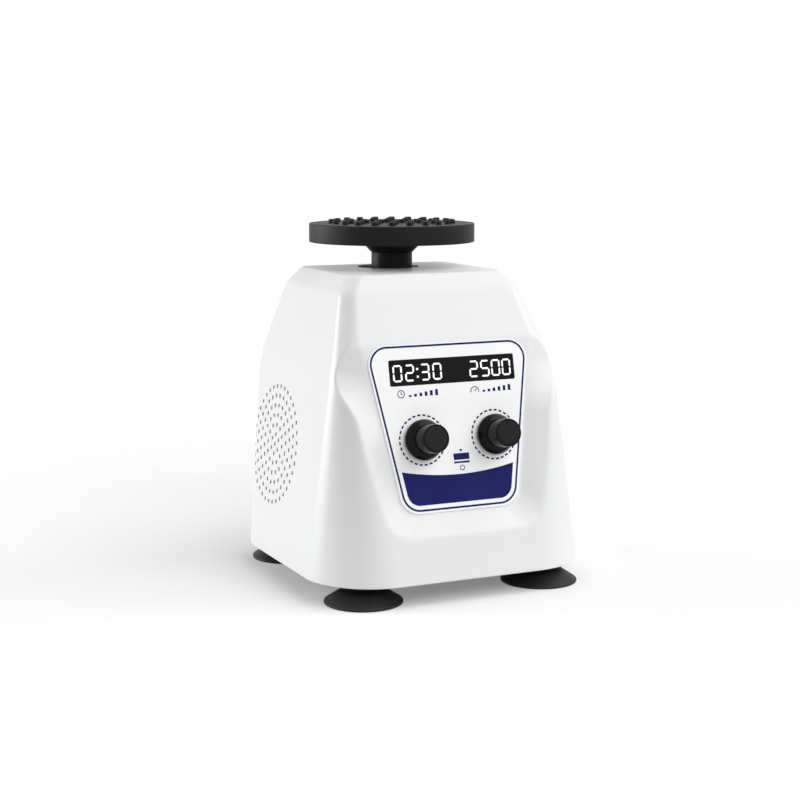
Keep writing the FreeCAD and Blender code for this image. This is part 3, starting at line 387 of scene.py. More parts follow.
def make_materials():
    """One finish for each material slot of the record, and for ink and lit digits.

    Each has its darkest and lightest colour, its range of roughness, and the scale and depth of its grain.
    """
    return {
        "housing_plastic": grained("white_gloss_plastic", (0.783, 0.788, 0.793), (0.789, 0.794, 0.799),
                                   (0.29, 0.31), 900.0, 8e-7, patch=12.0, Specular_IOR_Level=0.3),
        "overlay_film": grained("white_film", (0.955, 0.96, 0.962), (0.965, 0.97, 0.972), (0.30, 0.36),
                                3500.0, 2e-6, patch=70.0),
        "foot_rubber": grained("foot_rubber", (0.015, 0.015, 0.015), (0.021, 0.021, 0.021), (0.50, 0.62),
                               4200.0, 8e-6, Specular_IOR_Level=0.2),
        "platform_rubber": grained("platform_rubber", (0.008, 0.008, 0.0084), (0.012, 0.012, 0.0124),
                                   (0.46, 0.56), 4600.0, 8e-6, Specular_IOR_Level=0.12),
        "boot_rubber": grained("boot_rubber", (0.010, 0.010, 0.010), (0.016, 0.016, 0.016), (0.55, 0.7),
                               3800.0, 8e-6, Specular_IOR_Level=0.15),
        "neck_plastic": grained("neck_plastic", (0.018, 0.018, 0.018), (0.024, 0.024, 0.024), (0.34, 0.42),
                                3000.0, 4e-6, Specular_IOR_Level=0.08),
        "display_cover": grained("smoked_window", (0.008, 0.008, 0.0084), (0.011, 0.011, 0.0114),
                                 (0.16, 0.22), 800.0, 6e-7, Specular_IOR_Level=0.06),
        "knob_gloss": grained("knob_gloss", (0.004, 0.004, 0.0042), (0.006, 0.006, 0.0063), (0.11, 0.15),
                              1500.0, 1e-6, Specular_IOR_Level=0.12),
        "knob_face": grained("knob_face", (0.008, 0.008, 0.008), (0.011, 0.011, 0.011), (0.48, 0.58),
                             5200.0, 6e-6, Specular_IOR_Level=0.12),
        "socket_plastic": grained("socket_plastic", (0.012, 0.012, 0.012), (0.02, 0.02, 0.02), (0.35, 0.45),
                                  3200.0, 4e-6),
        "board_laminate": grained("board_laminate", (0.012, 0.09, 0.04), (0.02, 0.13, 0.06), (0.3, 0.45),
                                  2200.0, 3e-6),
        "encoder_plastic": grained("encoder_plastic", (0.03, 0.03, 0.032), (0.045, 0.045, 0.048), (0.4, 0.5),
                                   3000.0, 3e-6),
        "iron_casting": metal("iron_casting", (0.10, 0.10, 0.105), (0.17, 0.17, 0.175), (0.6, 0.8),
                              900.0, 6e-5),
        "base_steel": grained("base_paint", (0.05, 0.05, 0.052), (0.075, 0.075, 0.078), (0.42, 0.55),
                              1800.0, 8e-6),
        "motor_paint": grained("motor_paint", (0.06, 0.06, 0.065), (0.09, 0.09, 0.095), (0.4, 0.5),
                               1800.0, 6e-6),
        "turned_aluminium": metal("turned_aluminium", (0.62, 0.63, 0.65), (0.74, 0.75, 0.77), (0.28, 0.4)),
        "copper_winding": metal("copper_winding", (0.5, 0.22, 0.1), (0.66, 0.33, 0.17), (0.3, 0.45),
                                1500.0, 4e-5),
        "plated_brass": metal("plated_brass", (0.62, 0.48, 0.24), (0.76, 0.62, 0.36), (0.24, 0.36)),
        "bright_steel": metal("bright_steel", (0.5, 0.51, 0.53), (0.64, 0.65, 0.67), (0.26, 0.4)),
        "ink": grained("navy_ink", (0.010, 0.013, 0.11), (0.013, 0.017, 0.13), (0.30, 0.38), 3500.0, 1e-6,
                       Specular_IOR_Level=0.08),
        "digits": lit("lit_digits"),
    }


# Housing

# Spacing of the skin's sections outside and inside, steps round its bends, and steps along a section
OUTER_SPACING, INNER_SPACING = 0.7, 2.5
RIM_STEPS, TOP_STEPS = 6, 8
OUTER_BEND_STEPS, INNER_BEND_STEPS = (20, 10), (8, 4)
SIDE_STEPS, CORNER_STEPS, FRONT_STEPS, BACK_STEPS = 56, 28, 200, 48


def blended(low, high, share):
    """Section of the housing part of the way between two sections."""
    return {key: low[key] + (high[key] - low[key]) * share for key in low}


def drawn_in(section, inset):
    """The same section, drawn in all round at its own height."""
    smaller = {key: value - inset for key, value in section.items()}
    smaller["z"] = section["z"]
    return smaller


def bend(before, corner, after, steps):
    """Run of sections that rounds a corner along a parabola."""
    shares = [step / steps for step in range(steps + 1)]
    return [{key: before[key] * (1 - share) ** 2 + corner[key] * 2 * share * (1 - share)
             + after[key] * share ** 2 for key in corner} for share in shares]


def straight(low, high, spacing):
    """Run of sections between two, without its ends."""
    steps = max(1, round((high["z"] - low["z"]) / spacing))
    return [blended(low, high, step / steps) for step in range(1, steps)]


def eased_ends(low, corner, high, ease):
    """Sections where an eased corner starts and ends."""
    before = blended(corner, low, ease / (corner["z"] - low["z"]))
    after = blended(corner, high, ease / (high["z"] - corner["z"]))
    return before, after


def eased_walls(levels, start, spacing, bend_steps):
    """Sections up the eased shoulder and crown from a first section, and the last of them."""
    rim, shoulder, crown, top = levels
    runs = []
    last = start
    for low, corner, high, ease, steps in ((rim, shoulder, crown, SHOULDER_EASE, bend_steps[0]),
                                           (shoulder, crown, top, CROWN_EASE, bend_steps[1])):
        before, after = eased_ends(low, corner, high, ease)
        runs += straight(last, before, spacing) + bend(before, corner, after, steps)
        last = after
    return runs, last


def outer_sections():
    """Sections of the housing's outside, from the rounded rim to the rounded top edge."""
    levels = list(LEVELS.values())
    rim, shoulder, crown, top = levels
    above = blended(rim, shoulder, RIM_ROUND / (shoulder["z"] - rim["z"]))
    edge = blended(top, crown, TOP_ROUND / (top["z"] - crown["z"]))
    walls, last = eased_walls(levels, above, OUTER_SPACING, OUTER_BEND_STEPS)
    return (bend(drawn_in(rim, RIM_ROUND), rim, above, RIM_STEPS) + walls
            + straight(last, edge, OUTER_SPACING) + bend(edge, top, drawn_in(top, TOP_ROUND), TOP_STEPS))


def inner_sections():
    """Sections of the housing's inside, from the rim to the ceiling."""
    levels = [drawn_in(level, WALL) for level in LEVELS.values()]
    rim, _, crown, top = levels
    ceiling = blended(top, crown, WALL / (top["z"] - crown["z"]))
    walls, last = eased_walls(levels, rim, INNER_SPACING, INNER_BEND_STEPS)
    return [rim] + walls + straight(last, ceiling, INNER_SPACING) + [ceiling]


def section_points(section):
    """Points round a rounded four-sided section, starting at the front left corner."""
    radius = section["corner"]
    right, front, back = section["half_width"] - radius, radius - section["front"], section["back"] - radius
    points = []
    for x, y, start, run, steps in ((-right, front, 180, 2 * right, FRONT_STEPS),
                                    (right, front, 270, back - front, SIDE_STEPS),
                                    (right, back, 0, 2 * right, BACK_STEPS),
                                    (-right, back, 90, back - front, SIDE_STEPS)):
        for step in range(CORNER_STEPS + 1):
            angle = math.radians(start + 90 * step / CORNER_STEPS)
            points.append((x + radius * math.cos(angle), y + radius * math.sin(angle)))
        here = points[-1]
        end = math.radians(start + 90)
        along = (-math.sin(end), math.cos(end))
        points += [(here[0] + along[0] * run * step / steps, here[1] + along[1] * run * step / steps)
                   for step in range(1, steps)]
    return [(x, y, section["z"]) for x, y in points]


# How far the ramps are followed, in depths of the panel, and how often that range is halved
SPREAD_RANGE = (-1.2, 6.0)
HALVINGS = 36


def beyond_outline(side, v, spread, grow):
    """Distance outside the floor's outline once that is spread along its ramps, below zero inside."""
    low = FLOOR_HALF_LOW + grow + spread * RAMP_LOW
    high = FLOOR_HALF_LOW + grow + FLOOR_SLOPE * (OVERLAY_DROP + POCKET_RISE) + spread * RAMP_HIGH
    bottom = -(FLOOR_DROP + grow) - spread * RAMP_BOTTOM
    radius = FLOOR_CORNER + spread * RAMP_CORNER
    length = np.hypot(high - low, POCKET_RISE - bottom)
    normal_x, normal_v = (POCKET_RISE - bottom) / length, (low - high) / length
    beyond_side = normal_x * (side - low) + normal_v * (v - bottom) + radius
    beyond_bottom = bottom - v + radius
    turn = -normal_v
    square = beyond_side ** 2 + beyond_bottom ** 2 - 2 * beyond_side * beyond_bottom * turn
    corner = np.sqrt(np.maximum(square, 0.0)) / np.sqrt(1 - turn ** 2)
    in_corner = (beyond_side > beyond_bottom * turn) & (beyond_bottom > beyond_side * turn)
    return np.where(in_corner, corner, np.maximum(beyond_side, beyond_bottom)) - radius


def pocket_height(x, v, grow):
    """Height over the panel's floor of the pocket's ramps, below zero inside the floor's outline."""
    side = np.abs(x)
    low, high = (np.full_like(side, limit) for limit in SPREAD_RANGE)
    for _ in range(HALVINGS):
        middle = (low + high) / 2
        beyond = beyond_outline(side, v, middle, grow) > 0
        low, high = np.where(beyond, middle, low), np.where(beyond, high, middle)
    return low * PANEL_RECESS


def ramp_share(v):
    """Share of their height that the side ramps keep: all low down, falling away beside the display."""
    low, high = RAMP_TURN
    share = np.clip((v - low) / (high - low), 0.0, 1.0)
    return 1 + (RAMP_FALL - 1) * share * share * (3 - 2 * share)


def sunk(points, sink, grow):
    """Points of the housing's skin, pressed into the panel's pocket where that lies deeper."""
    points = np.array(points)
    offset = points - PANEL_ORIGIN
    x, v, w = offset[:, 0], offset @ PANEL_UP, offset @ PANEL_OUT
    ramps = pocket_height(x, v, grow)
    floor = -smooth_min(-ramps, np.zeros_like(ramps), FLOOR_SOFTNESS) * ramp_share(v) - sink
    lowered = smooth_min(w, floor, MOUTH_SOFTNESS)
    pressed = np.where(points[:, 1] < 0, lowered - w, 0.0)
    return points + pressed[:, None] * PANEL_OUT


def skin(sections, sink, grow, base):
    """Rings of points for a run of sections, with the faces that join them."""
    rings = [section_points(section) for section in sections]
    count = len(rings[0])
    points = sunk([point for ring in rings for point in ring], sink, grow)
    faces = []
    for ring in range(len(rings) - 1):
        start = base + ring * count
        faces += [[start + index, start + (index + 1) % count, start + count + (index + 1) % count,
                   start + count + index] for index in range(count)]
    return [tuple(point) for point in points], faces, count


def tool(shape, matrix=None):
    """Cutting or joining solid for the housing."""
    mesh = make_mesh("tool", shape.points, shape.faces, matrix)
    made = bpy.data.objects.new("tool", mesh)
    bpy.context.scene.collection.objects.link(made)
    return made


def combine(target, tools, operation):
    """Apply boolean tools to a mesh object, then remove them."""
    group = bpy.data.collections.new("tools")
    bpy.context.scene.collection.children.link(group)
    for item in tools:
        group.objects.link(item)
    modifier = target.modifiers.new("shape", "BOOLEAN")
    modifier.operation = operation
    modifier.solver = "MANIFOLD"
    modifier.operand_type = "COLLECTION"
    modifier.collection = group
    depsgraph = bpy.context.evaluated_depsgraph_get()
    mesh = bpy.data.meshes.new_from_object(target.evaluated_get(depsgraph))
    target.modifiers.clear()
    target.data = mesh
    for item in tools:
        bpy.data.objects.remove(item)
    bpy.data.collections.remove(group)


def axis_matrix(x, y, z, turn_axis, angle):
    """Placement in metres of a tool drawn along Z."""
    return Matrix.Translation(Vector((x, y, z)) * MM) @ Matrix.Rotation(math.radians(angle), 4, turn_axis)


# Sides of the tools' round outlines, and how far the tools reach
NECK_SIDES, BOSS_SIDES, PILOT_SIDES, BUSHING_SIDES, VENT_SIDES = 128, 40, 24, 48, 20
TOOL_CLEAR = 1.0
SOCKET_PAD_RISE = 1.2
SOCKET_CUT = 6.0
PANEL_CUT = (-4.0, 3.0)
VENT_CUT = 10.0


def socket_matrix():
    """Placement at the power socket's seat, with Z out of the back wall."""
    return axis_matrix(0, SOCKET_SEAT_Y, SOCKET_Z, "X", -90)


def housing_additions():
    """Collar under the neck's opening, screw bosses and the pad behind the power socket."""
    ceiling = LEVELS["top"]["z"] - WALL
    collar = Shape().slab(circle(NECK_HOLE_RADIUS + COLLAR_WALL, DRIVE_AXIS[:2], NECK_SIDES),
                          ceiling - COLLAR_DROP, ceiling + WALL / 2)
    bosses = Shape()
    for spot in BOSS_SPOTS:
        bosses.slab(circle(BOSS_RADIUS, spot, BOSS_SIDES), BOSS_LOW, BOSS_HIGH)
    pad = Shape().slab(circle(SOCKET_PAD_RADIUS), -SOCKET_PAD_THICK, SOCKET_PAD_RISE)
    return [tool(collar), tool(bosses), tool(pad, socket_matrix())]


def neck_and_screw_cuts():
    """Opening for the neck, and pilot holes of the screws."""
    top = LEVELS["top"]["z"]
    neck_hole = Shape().slab(circle(NECK_HOLE_RADIUS, DRIVE_AXIS[:2], NECK_SIDES),
                             top - WALL - COLLAR_DROP - TOOL_CLEAR, top + TOOL_CLEAR)
    pilots = Shape()
    for spot in BOSS_SPOTS:
        pilots.slab(circle(PILOT_RADIUS, spot, PILOT_SIDES), BOSS_LOW - TOOL_CLEAR, BOSS_LOW + PILOT_DEPTH)
    return [tool(neck_hole), tool(pilots)]


def socket_cuts():
    """Recess and hole for the power socket."""
    recess = Shape().slab(circle(SOCKET_RECESS_RADIUS), 0, SOCKET_CUT)
    hole = Shape().slab(circle(SOCKET_HOLE_RADIUS), -SOCKET_CUT, TOOL_CLEAR)
    return [tool(recess, socket_matrix()), tool(hole, socket_matrix())]


def panel_cuts():
    """Display window, and holes for the bushings of both knobs."""
    width, height = WINDOW_HALF_WIDTH + WINDOW_FIT, WINDOW_HALF_HEIGHT + WINDOW_FIT
    outline = [(-width, -height), (width, -height), (width, height), (-width, height)]
    window = Shape().slab(outline, *PANEL_CUT)
    bushing = Shape().slab(circle(BUSHING_HOLE_RADIUS, count=BUSHING_SIDES), *PANEL_CUT)
    return [tool(window, panel_matrix(CONTROL_SHIFT, WINDOW_CENTRE))] + [
        tool(bushing, panel_matrix(*knob_spot(name))) for name in KNOBS]


def vent_cuts():
    """Rings of round vents in both side walls."""
    rim, shoulder = LEVELS["rim"], LEVELS["shoulder"]
    slope = (rim["half_width"] - shoulder["half_width"]) / (shoulder["z"] - rim["z"])
    wall_x = rim["half_width"] - slope * (VENT_CENTRE[1] - rim["z"])
    vents = Shape()
    for across, rise in [(0.0, 0.0)] + ring_spots(VENT_RINGS, VENT_PITCH, RING_GAIN, VENT_PITCH, VENT_TURN):
        vents.slab(circle(VENT_HOLE_RADIUS, (-rise, across), VENT_SIDES), -VENT_CUT, VENT_CUT)
    return [tool(vents, axis_matrix(side * wall_x, *VENT_CENTRE, "Y", 90)) for side in (-1, 1)]


def housing_cuts():
    """Every opening of the housing."""
    return neck_and_screw_cuts() + socket_cuts() + panel_cuts() + vent_cuts()


def make_housing(materials):
    """White housing as one closed shell, with soft bends and its real openings."""
    outside, outer_faces, count = skin(outer_sections(), 0.0, 0.0, 0)
    inside, inner_faces, _ = skin(inner_sections(), WALL, WALL / 2, len(outside))
    points = outside + inside
    faces = outer_faces + inner_faces
    faces += [[index, len(outside) + index, len(outside) + (index + 1) % count, (index + 1) % count]
              for index in range(count)]
    faces.append(list(range(len(outside) - count, len(outside))))
    faces.append(list(range(len(points) - count, len(points))))
    shell = bpy.data.objects.new("shell", make_mesh("housing_shell", points, faces))
    bpy.context.scene.collection.objects.link(shell)
    combine(shell, housing_additions(), "UNION")
    combine(shell, housing_cuts(), "DIFFERENCE")
    mesh = shell.data
    bpy.data.objects.remove(shell)
    mesh.materials.clear()
    piece("housing_shell", mesh, "base", materials["housing_plastic"], ["housing"],
          sharp_angle=HOUSING_SHARP_ANGLE)


# Feet, platform and boot. Profiles are (radius, height, rounding) corners.

FOOT_PROFILE = (
    (3.02, 9.4, 0), (3.02, 5.4, 0), (0.0, 5.4, 0), (0.0, 4.2, 0), (9.6, 3.4, 1.5), (15.6, 0.0, 0.2),
    (17.0, 0.0, 0.3), (17.0, 0.9, 0.45), (10.5, 5.2, 5.0), (6.5, 6.3, 1.2), (6.5, 9.4, 0),
)


def make_feet(materials):
    """Rubber suction feet with a thin rounded lip."""
    profile = filleted(FOOT_PROFILE)
    for name in ("front_left", "front_right", "rear_left", "rear_right"):
        low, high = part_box(f"foot_{name}")
        centre = ((low.x + high.x) / 2 / MM, (low.y + high.y) / 2 / MM)
        shape_piece(f"suction_foot_{name}", Shape().lathe(profile, centre=centre), "base",
                    materials["foot_rubber"], [f"foot_{name}"])


PLATFORM_Z = 148.4
PLATFORM_TOP = 156.9
PLATFORM_RADIUS = 38.0
PLATFORM_BORE = 6.02
PLATFORM_BORE_DEPTH = 5.42
PLATFORM_SIDES = 160
STUD_CIRCLE = 5.3
STUD_PITCH = 7.5
STUD_RINGS = 4
FIRST_STUDS = 4
STUD_RADIUS = 1.55
STUD_TIP_RADIUS = 0.94 * STUD_RADIUS
STUD_ROOT = 0.5
STUD_HEIGHT = 1.6
STUD_SIDES = 24
STUD_STEPS = 4


def make_platform(materials):
    """Round rubber platform with rounded edges and short studs."""
    centre = HEAD_AXIS[:2]
    roof = PLATFORM_Z + PLATFORM_BORE_DEPTH
    disc = Shape().lathe(filleted([
        (PLATFORM_BORE, PLATFORM_Z, 0.2), (PLATFORM_RADIUS, PLATFORM_Z, 0.4),
        (PLATFORM_RADIUS, PLATFORM_TOP, 0.5), (0.0, PLATFORM_TOP, 0), (0.0, roof, 0),
        (PLATFORM_BORE, roof, 0.2)]), PLATFORM_SIDES, centre)
    root, tip = PLATFORM_TOP - STUD_ROOT, PLATFORM_TOP + STUD_HEIGHT
    stud = filleted([(0.0, root, 0), (STUD_RADIUS, root, 0), (STUD_TIP_RADIUS, tip, 0.3), (0.0, tip, 0)],
                    STUD_STEPS)
    studs = Shape()
    for x, y in ring_spots(STUD_RINGS, STUD_CIRCLE, FIRST_STUDS, STUD_PITCH):
        studs.lathe(stud, STUD_SIDES, (centre[0] + x, centre[1] + y))
    made = bpy.data.objects.new("platform_pad", make_mesh("platform_pad", disc.points, disc.faces))
    bpy.context.scene.collection.objects.link(made)
    combine(made, [tool(studs)], "UNION")
    mesh = made.data
    bpy.data.objects.remove(made)
    mesh.materials.clear()
    piece("platform_pad", mesh, "head", materials["platform_rubber"], ["platform"])


# The boot's folds, with heights over the lower edge of the housing's collar
BOOT_FIT = 0.02
BOOT_SKIRT = NECK_HOLE_RADIUS + COLLAR_WALL + BOOT_FIT
BOOT_THICK = 1.5
OUTER_FOLD = (
    (BOOT_SKIRT, 6.0, 0.4), (BOOT_SKIRT, -0.2, 0), (12.2, -0.2, 0.5), (12.2, -1.6, 0.5),
    (BOOT_SKIRT + BOOT_THICK, -1.6, 1.2), (BOOT_SKIRT + BOOT_THICK, 6.0, 0.4),
)
INNER_FOLD = (
    (9.42, -7.8, 0), (10.9, -7.8, 0.5), (10.9, -4.4, 1.2), (14.2, -3.4, 0.4), (14.2, -2.1, 0.5),
    (9.42, -2.1, 0),
)


def make_boot(materials):
    """Rubber boot in two folds: the outer one on the housing's collar, the inner one on the neck."""
    collar_z = LEVELS["top"]["z"] - WALL - COLLAR_DROP
    for name, fold, axis, body in (("boot_outer_fold", OUTER_FOLD, DRIVE_AXIS, "base"),
                                   ("boot_inner_fold", INNER_FOLD, HEAD_AXIS, "head")):
        profile = filleted([(radius, collar_z + rise, rounding) for radius, rise, rounding in fold])
        shape_piece(name, Shape().lathe(profile, centre=axis[:2]), body, materials["boot_rubber"],
                    ["neck_boot"])


# Knobs, with heights over the panel's floor

KNOB_BODY = (
    (3.02, 3.9, 0), (6.4, 3.9, 0.3), (7.75, 1.9, 0.2), (8.8, 1.9, 0.2), (8.8, 3.05, 0.4), (7.75, 4.9, 1.4),
    (6.28, 5.65, 0.6), (6.05, 14.4, 0.4), (5.22, 14.4, 0.15), (5.22, 13.8, 0), (0.0, 13.8, 0),
    (0.0, 12.42, 0), (3.02, 12.42, 0),
)
KNOB_FACE = ((0.0, 13.8, 0), (5.2, 13.8, 0), (5.2, 14.36, 0.25), (4.3, 14.4, 2.0), (0.0, 14.32, 0))
KNOB_MARK = ((0.0, 14.2, 0), (0.5, 14.2, 0), (0.5, 14.4, 0.1), (0.0, 14.4, 0))
KNOB_SIDES, MARK_SIDES = 128, 32
MARK_PLACE = (0.0, 3.9)


def make_knobs(materials):
    """Skirted knobs with a smooth flare, and faces with a small mark."""
    body, face, mark = filleted(KNOB_BODY), filleted(KNOB_FACE), filleted(KNOB_MARK)
    for name in KNOBS:
        matrix = panel_matrix(*knob_spot(name))
        shape_piece(f"{name}_knob_body", Shape().lathe(body, KNOB_SIDES), f"{name}_turn",
                    materials["knob_gloss"], [f"{name}_knob"], matrix)
        shape_piece(f"{name}_knob_face", Shape().lathe(face), f"{name}_turn", materials["knob_face"],
                    [f"{name}_knob_cap"], matrix)
        shape_piece(f"{name}_knob_mark", Shape().lathe(mark, MARK_SIDES, MARK_PLACE), f"{name}_turn",
                    materials["knob_gloss"], (), matrix)


# Print on the overlay, and the display

# Lower and upper ends of the printed border: place up the slope, half width and corner radius
BORDER_LOW = (-56.5, 25.9, 8.0)
BORDER_HIGH = (13.6, 38.2, 7.5)
BORDER_STEPS = 16
BORDER_WIDTH = 0.85


def tapered_outline(inset):
    """Outline of the printed border, drawn in all round."""
    (low_v, low_half, low_round), (high_v, high_half, high_round) = BORDER_LOW, BORDER_HIGH
    slope = (high_half - low_half) / (high_v - low_v)
    side = inset * math.hypot(1, slope)
    low_half += slope * inset - side
    high_half -= slope * inset + side
    low_v, high_v = low_v + inset, high_v - inset
    low_round, high_round = low_round - inset, high_round - inset
    return filleted([(-low_half, low_v, low_round), (low_half, low_v, low_round),
                     (high_half, high_v, high_round), (-high_half, high_v, high_round)], BORDER_STEPS)


# Band along the lower edge, and dashed circles round the knobs
BAND_INSET = 2.1
BAND_END_V = -39.5
BAND_MIDDLE_V = -42.4
BAND_STEPS = 32
DASH_RADIUS = 10.65
DASH_WIDTH = 0.72
DASH_COUNT = 28
DASH_SHARE = 0.6


def arc_strip(radius, width, start, end, centre, steps=6):
    """Outline of a piece of a ring, between two angles in turns."""
    angles = [2 * math.pi * (start + (end - start) * step / steps) for step in range(steps + 1)]

    def edge(reach, turns):
        return [(centre[0] + reach * math.cos(turn), centre[1] + reach * math.sin(turn)) for turn in turns]

    return edge(radius + width / 2, angles) + edge(radius - width / 2, angles[::-1])


def bar(start, end, width):
    """Outline of a straight stroke."""
    run = np.array(end) - np.array(start)
    across = np.array([-run[1], run[0]]) / np.linalg.norm(run) * width / 2
    return [tuple(np.array(start) - across), tuple(np.array(end) - across), tuple(np.array(end) + across),
            tuple(np.array(start) + across)]


def make_band(shape, low, high):
    """Filled band along the overlay's lower edge, with a hollow upper edge."""
    outline = tapered_outline(BAND_INSET)
    lower = [(x, v) for x, v in outline if v < BAND_END_V]
    right = [point for point in lower if point[0] > 0]
    left = [point for point in lower if point[0] <= 0]
    (low_v, low_half, _), (high_v, high_half, _) = BORDER_LOW, BORDER_HIGH
    slope = (high_half - low_half) / (high_v - low_v)
    end_x = low_half + slope * (BAND_END_V - low_v) - BAND_INSET * math.hypot(1, slope)
    top = []
    for step in range(BAND_STEPS + 1):
        x = end_x * (1 - 2 * step / BAND_STEPS)
        top.append((x, BAND_MIDDLE_V + (BAND_END_V - BAND_MIDDLE_V) * (x / end_x) ** 2))
    shape.slab(left + right + top, low, high)


# Plain symbols, drawn round their spots
SYMBOL_STROKE = 0.36
PUSH_SPOT = (1.95, -34.9)
PUSH_HALF_WIDTH = 3.75
PUSH_HEIGHT = 2.8
PUSH_LINE_DROP = 2.45
PUSH_LINE_HEIGHT = 0.8
PUSH_ARROW = ((0.0, 1.8), (0.75, 3.1), (-0.75, 3.1))
POWER_SPOT = (1.95, -39.7)
POWER_RADIUS = 1.05
POWER_ARC = (0.34, 1.16)
POWER_STEPS = 24
POWER_STEM = (0.3, 1.25)
CLOCK_SPOT = (-23.9, -6.5)
CLOCK_RADIUS = 1.75
CLOCK_HANDS = ((0.0, 1.05), (0.8, -0.35))
GAUGE_SPOT = (11.2, -7.3)
GAUGE_RADIUS = 1.9
GAUGE_ARC = (-0.04, 0.54)
GAUGE_STEPS = 32
GAUGE_POINTER = (0.95, 1.0)
SCALE_STARTS = ((-20.3, -7.9), (15.0, -7.9))
SCALE_BARS = 6
SCALE_PITCH = 2.5
SCALE_BAR_WIDTH = 1.25
SCALE_FIRST_HEIGHT = 0.8
SCALE_GAIN = 0.36


def make_push_symbol(shape, low, high):
    """Button with an arrow that points down at it, over a plain on and off mark."""
    x, v = PUSH_SPOT
    for drop, height in ((0.0, PUSH_HEIGHT), (PUSH_LINE_DROP, PUSH_LINE_HEIGHT)):
        shape.slab(bar((x - PUSH_HALF_WIDTH, v - drop), (x + PUSH_HALF_WIDTH, v - drop), height), low, high)
    shape.slab([(x + across, v + rise) for across, rise in PUSH_ARROW], low, high)
    shape.slab(arc_strip(POWER_RADIUS, SYMBOL_STROKE, *POWER_ARC, POWER_SPOT, POWER_STEPS), low, high)
    x, v = POWER_SPOT
    shape.slab(bar((x, v + POWER_STEM[0]), (x, v + POWER_STEM[1]), SYMBOL_STROKE), low, high)


def make_clock(shape, low, high):
    """Clock face with two hands."""
    x, v = CLOCK_SPOT
    shape.band(circle(CLOCK_RADIUS, CLOCK_SPOT), circle(CLOCK_RADIUS - SYMBOL_STROKE, CLOCK_SPOT), low, high)
    for across, rise in CLOCK_HANDS:
        shape.slab(bar((x, v), (x + across, v + rise), SYMBOL_STROKE), low, high)


def make_gauge(shape, low, high):
    """Half-round gauge with a pointer."""
    x, v = GAUGE_SPOT
    shape.slab(arc_strip(GAUGE_RADIUS, SYMBOL_STROKE, *GAUGE_ARC, GAUGE_SPOT, GAUGE_STEPS), low, high)
    shape.slab(bar((x, v), (x + GAUGE_POINTER[0], v + GAUGE_POINTER[1]), SYMBOL_STROKE), low, high)


def make_scale(shape, start, low, high):
    """Row of bars that grow to the right."""
    x, v = start
    for step in range(SCALE_BARS):
        middle = x + SCALE_PITCH * step + SCALE_BAR_WIDTH / 2
        rise = SCALE_FIRST_HEIGHT + SCALE_GAIN * step
        shape.slab(bar((middle, v), (middle, v + rise), SCALE_BAR_WIDTH), low, high)


def make_print(materials):
    """Navy print on the overlay: border, band, dashed circles and plain symbols."""
    low, high = OVERLAY_TOP, OVERLAY_TOP + INK
    shape = Shape()
    shape.band(tapered_outline(-BORDER_WIDTH / 2), tapered_outline(BORDER_WIDTH / 2), low, high)
    make_band(shape, low, high)
    for name in KNOBS:
        centre = knob_spot(name)
        for dash in range(DASH_COUNT):
            start, end = dash / DASH_COUNT, (dash + DASH_SHARE) / DASH_COUNT
            shape.slab(arc_strip(DASH_RADIUS, DASH_WIDTH, start, end, centre), low, high)
    make_push_symbol(shape, low, high)
    make_clock(shape, low, high)
    make_gauge(shape, low, high)
    for start in SCALE_STARTS:
        make_scale(shape, start, low, high)
    shape_piece("overlay_print", shape, "base", materials["ink"], matrix=panel_matrix(0, 0))


# Lit strokes of each digit that is shown, and the places of the digits along the display
SEGMENTS = {"0": "abcdef", "2": "abged", "3": "abgcd", "5": "afgcd"}
DIGIT_HALF_WIDTH = 1.8
DIGIT_HALF_HEIGHT = 3.25
DIGIT_STROKE = 0.76
DIGIT_GAP = 0.14
TIME_DIGITS = (("0", -24.7), ("2", -19.0), ("3", -11.7), ("0", -5.95))
TIME_COLON = -15.3
SPEED_DIGITS = (("2", 11.7), ("5", 17.2), ("0", 22.4), ("0", 27.6))
DIGIT_DROP = 0.2
COLON_RISES = (-2.0, 1.3)
COLON_SIZE = 0.9


def segment(start, end):
    """Lit stroke with pointed ends."""
    start, end = np.array(start), np.array(end)
    along = (end - start) / np.linalg.norm(end - start)
    across = np.array([-along[1], along[0]]) * DIGIT_STROKE / 2
    start, end = start + along * DIGIT_GAP, end - along * DIGIT_GAP
    tip = along * DIGIT_STROKE / 2
    return (start, start + tip - across, end - tip - across, end, end - tip + across, start + tip + across)


def make_display(materials):
    """Lit digits in two groups on the dark window."""
    width, height = DIGIT_HALF_WIDTH, DIGIT_HALF_HEIGHT
    strokes = {
        "a": ((-width, height), (width, height)), "b": ((width, height), (width, 0)),
        "c": ((width, 0), (width, -height)), "d": ((-width, -height), (width, -height)),
        "e": ((-width, 0), (-width, -height)), "f": ((-width, height), (-width, 0)),
        "g": ((-width, 0), (width, 0)),
    }
    low, high = WINDOW_FACE, WINDOW_FACE + INK
    shape = Shape()
    for digit, x in TIME_DIGITS + SPEED_DIGITS:
        for letter in SEGMENTS[digit]:
            outline = [(x + px, WINDOW_CENTRE - DIGIT_DROP + pv) for px, pv in segment(*strokes[letter])]
            shape.slab(outline, low, high)
    for rise in COLON_RISES:
        low_end, high_end = (WINDOW_CENTRE + rise + side * COLON_SIZE / 2 for side in (-1, 1))
        shape.slab(bar((TIME_COLON, low_end), (TIME_COLON, high_end), COLON_SIZE), low, high)
    shape_piece("display_digits", shape, "base", materials["digits"],
                matrix=panel_matrix(0, 0))


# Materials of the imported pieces

def dress_nodes(materials):
    """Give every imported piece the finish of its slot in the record."""
    for entry in frame["record"]["subparts"]:
        mesh = frame["nodes"][entry["node"]].data
        mesh.materials.clear()
        mesh.materials.append(materials[entry["material_slot"]])


# Studio

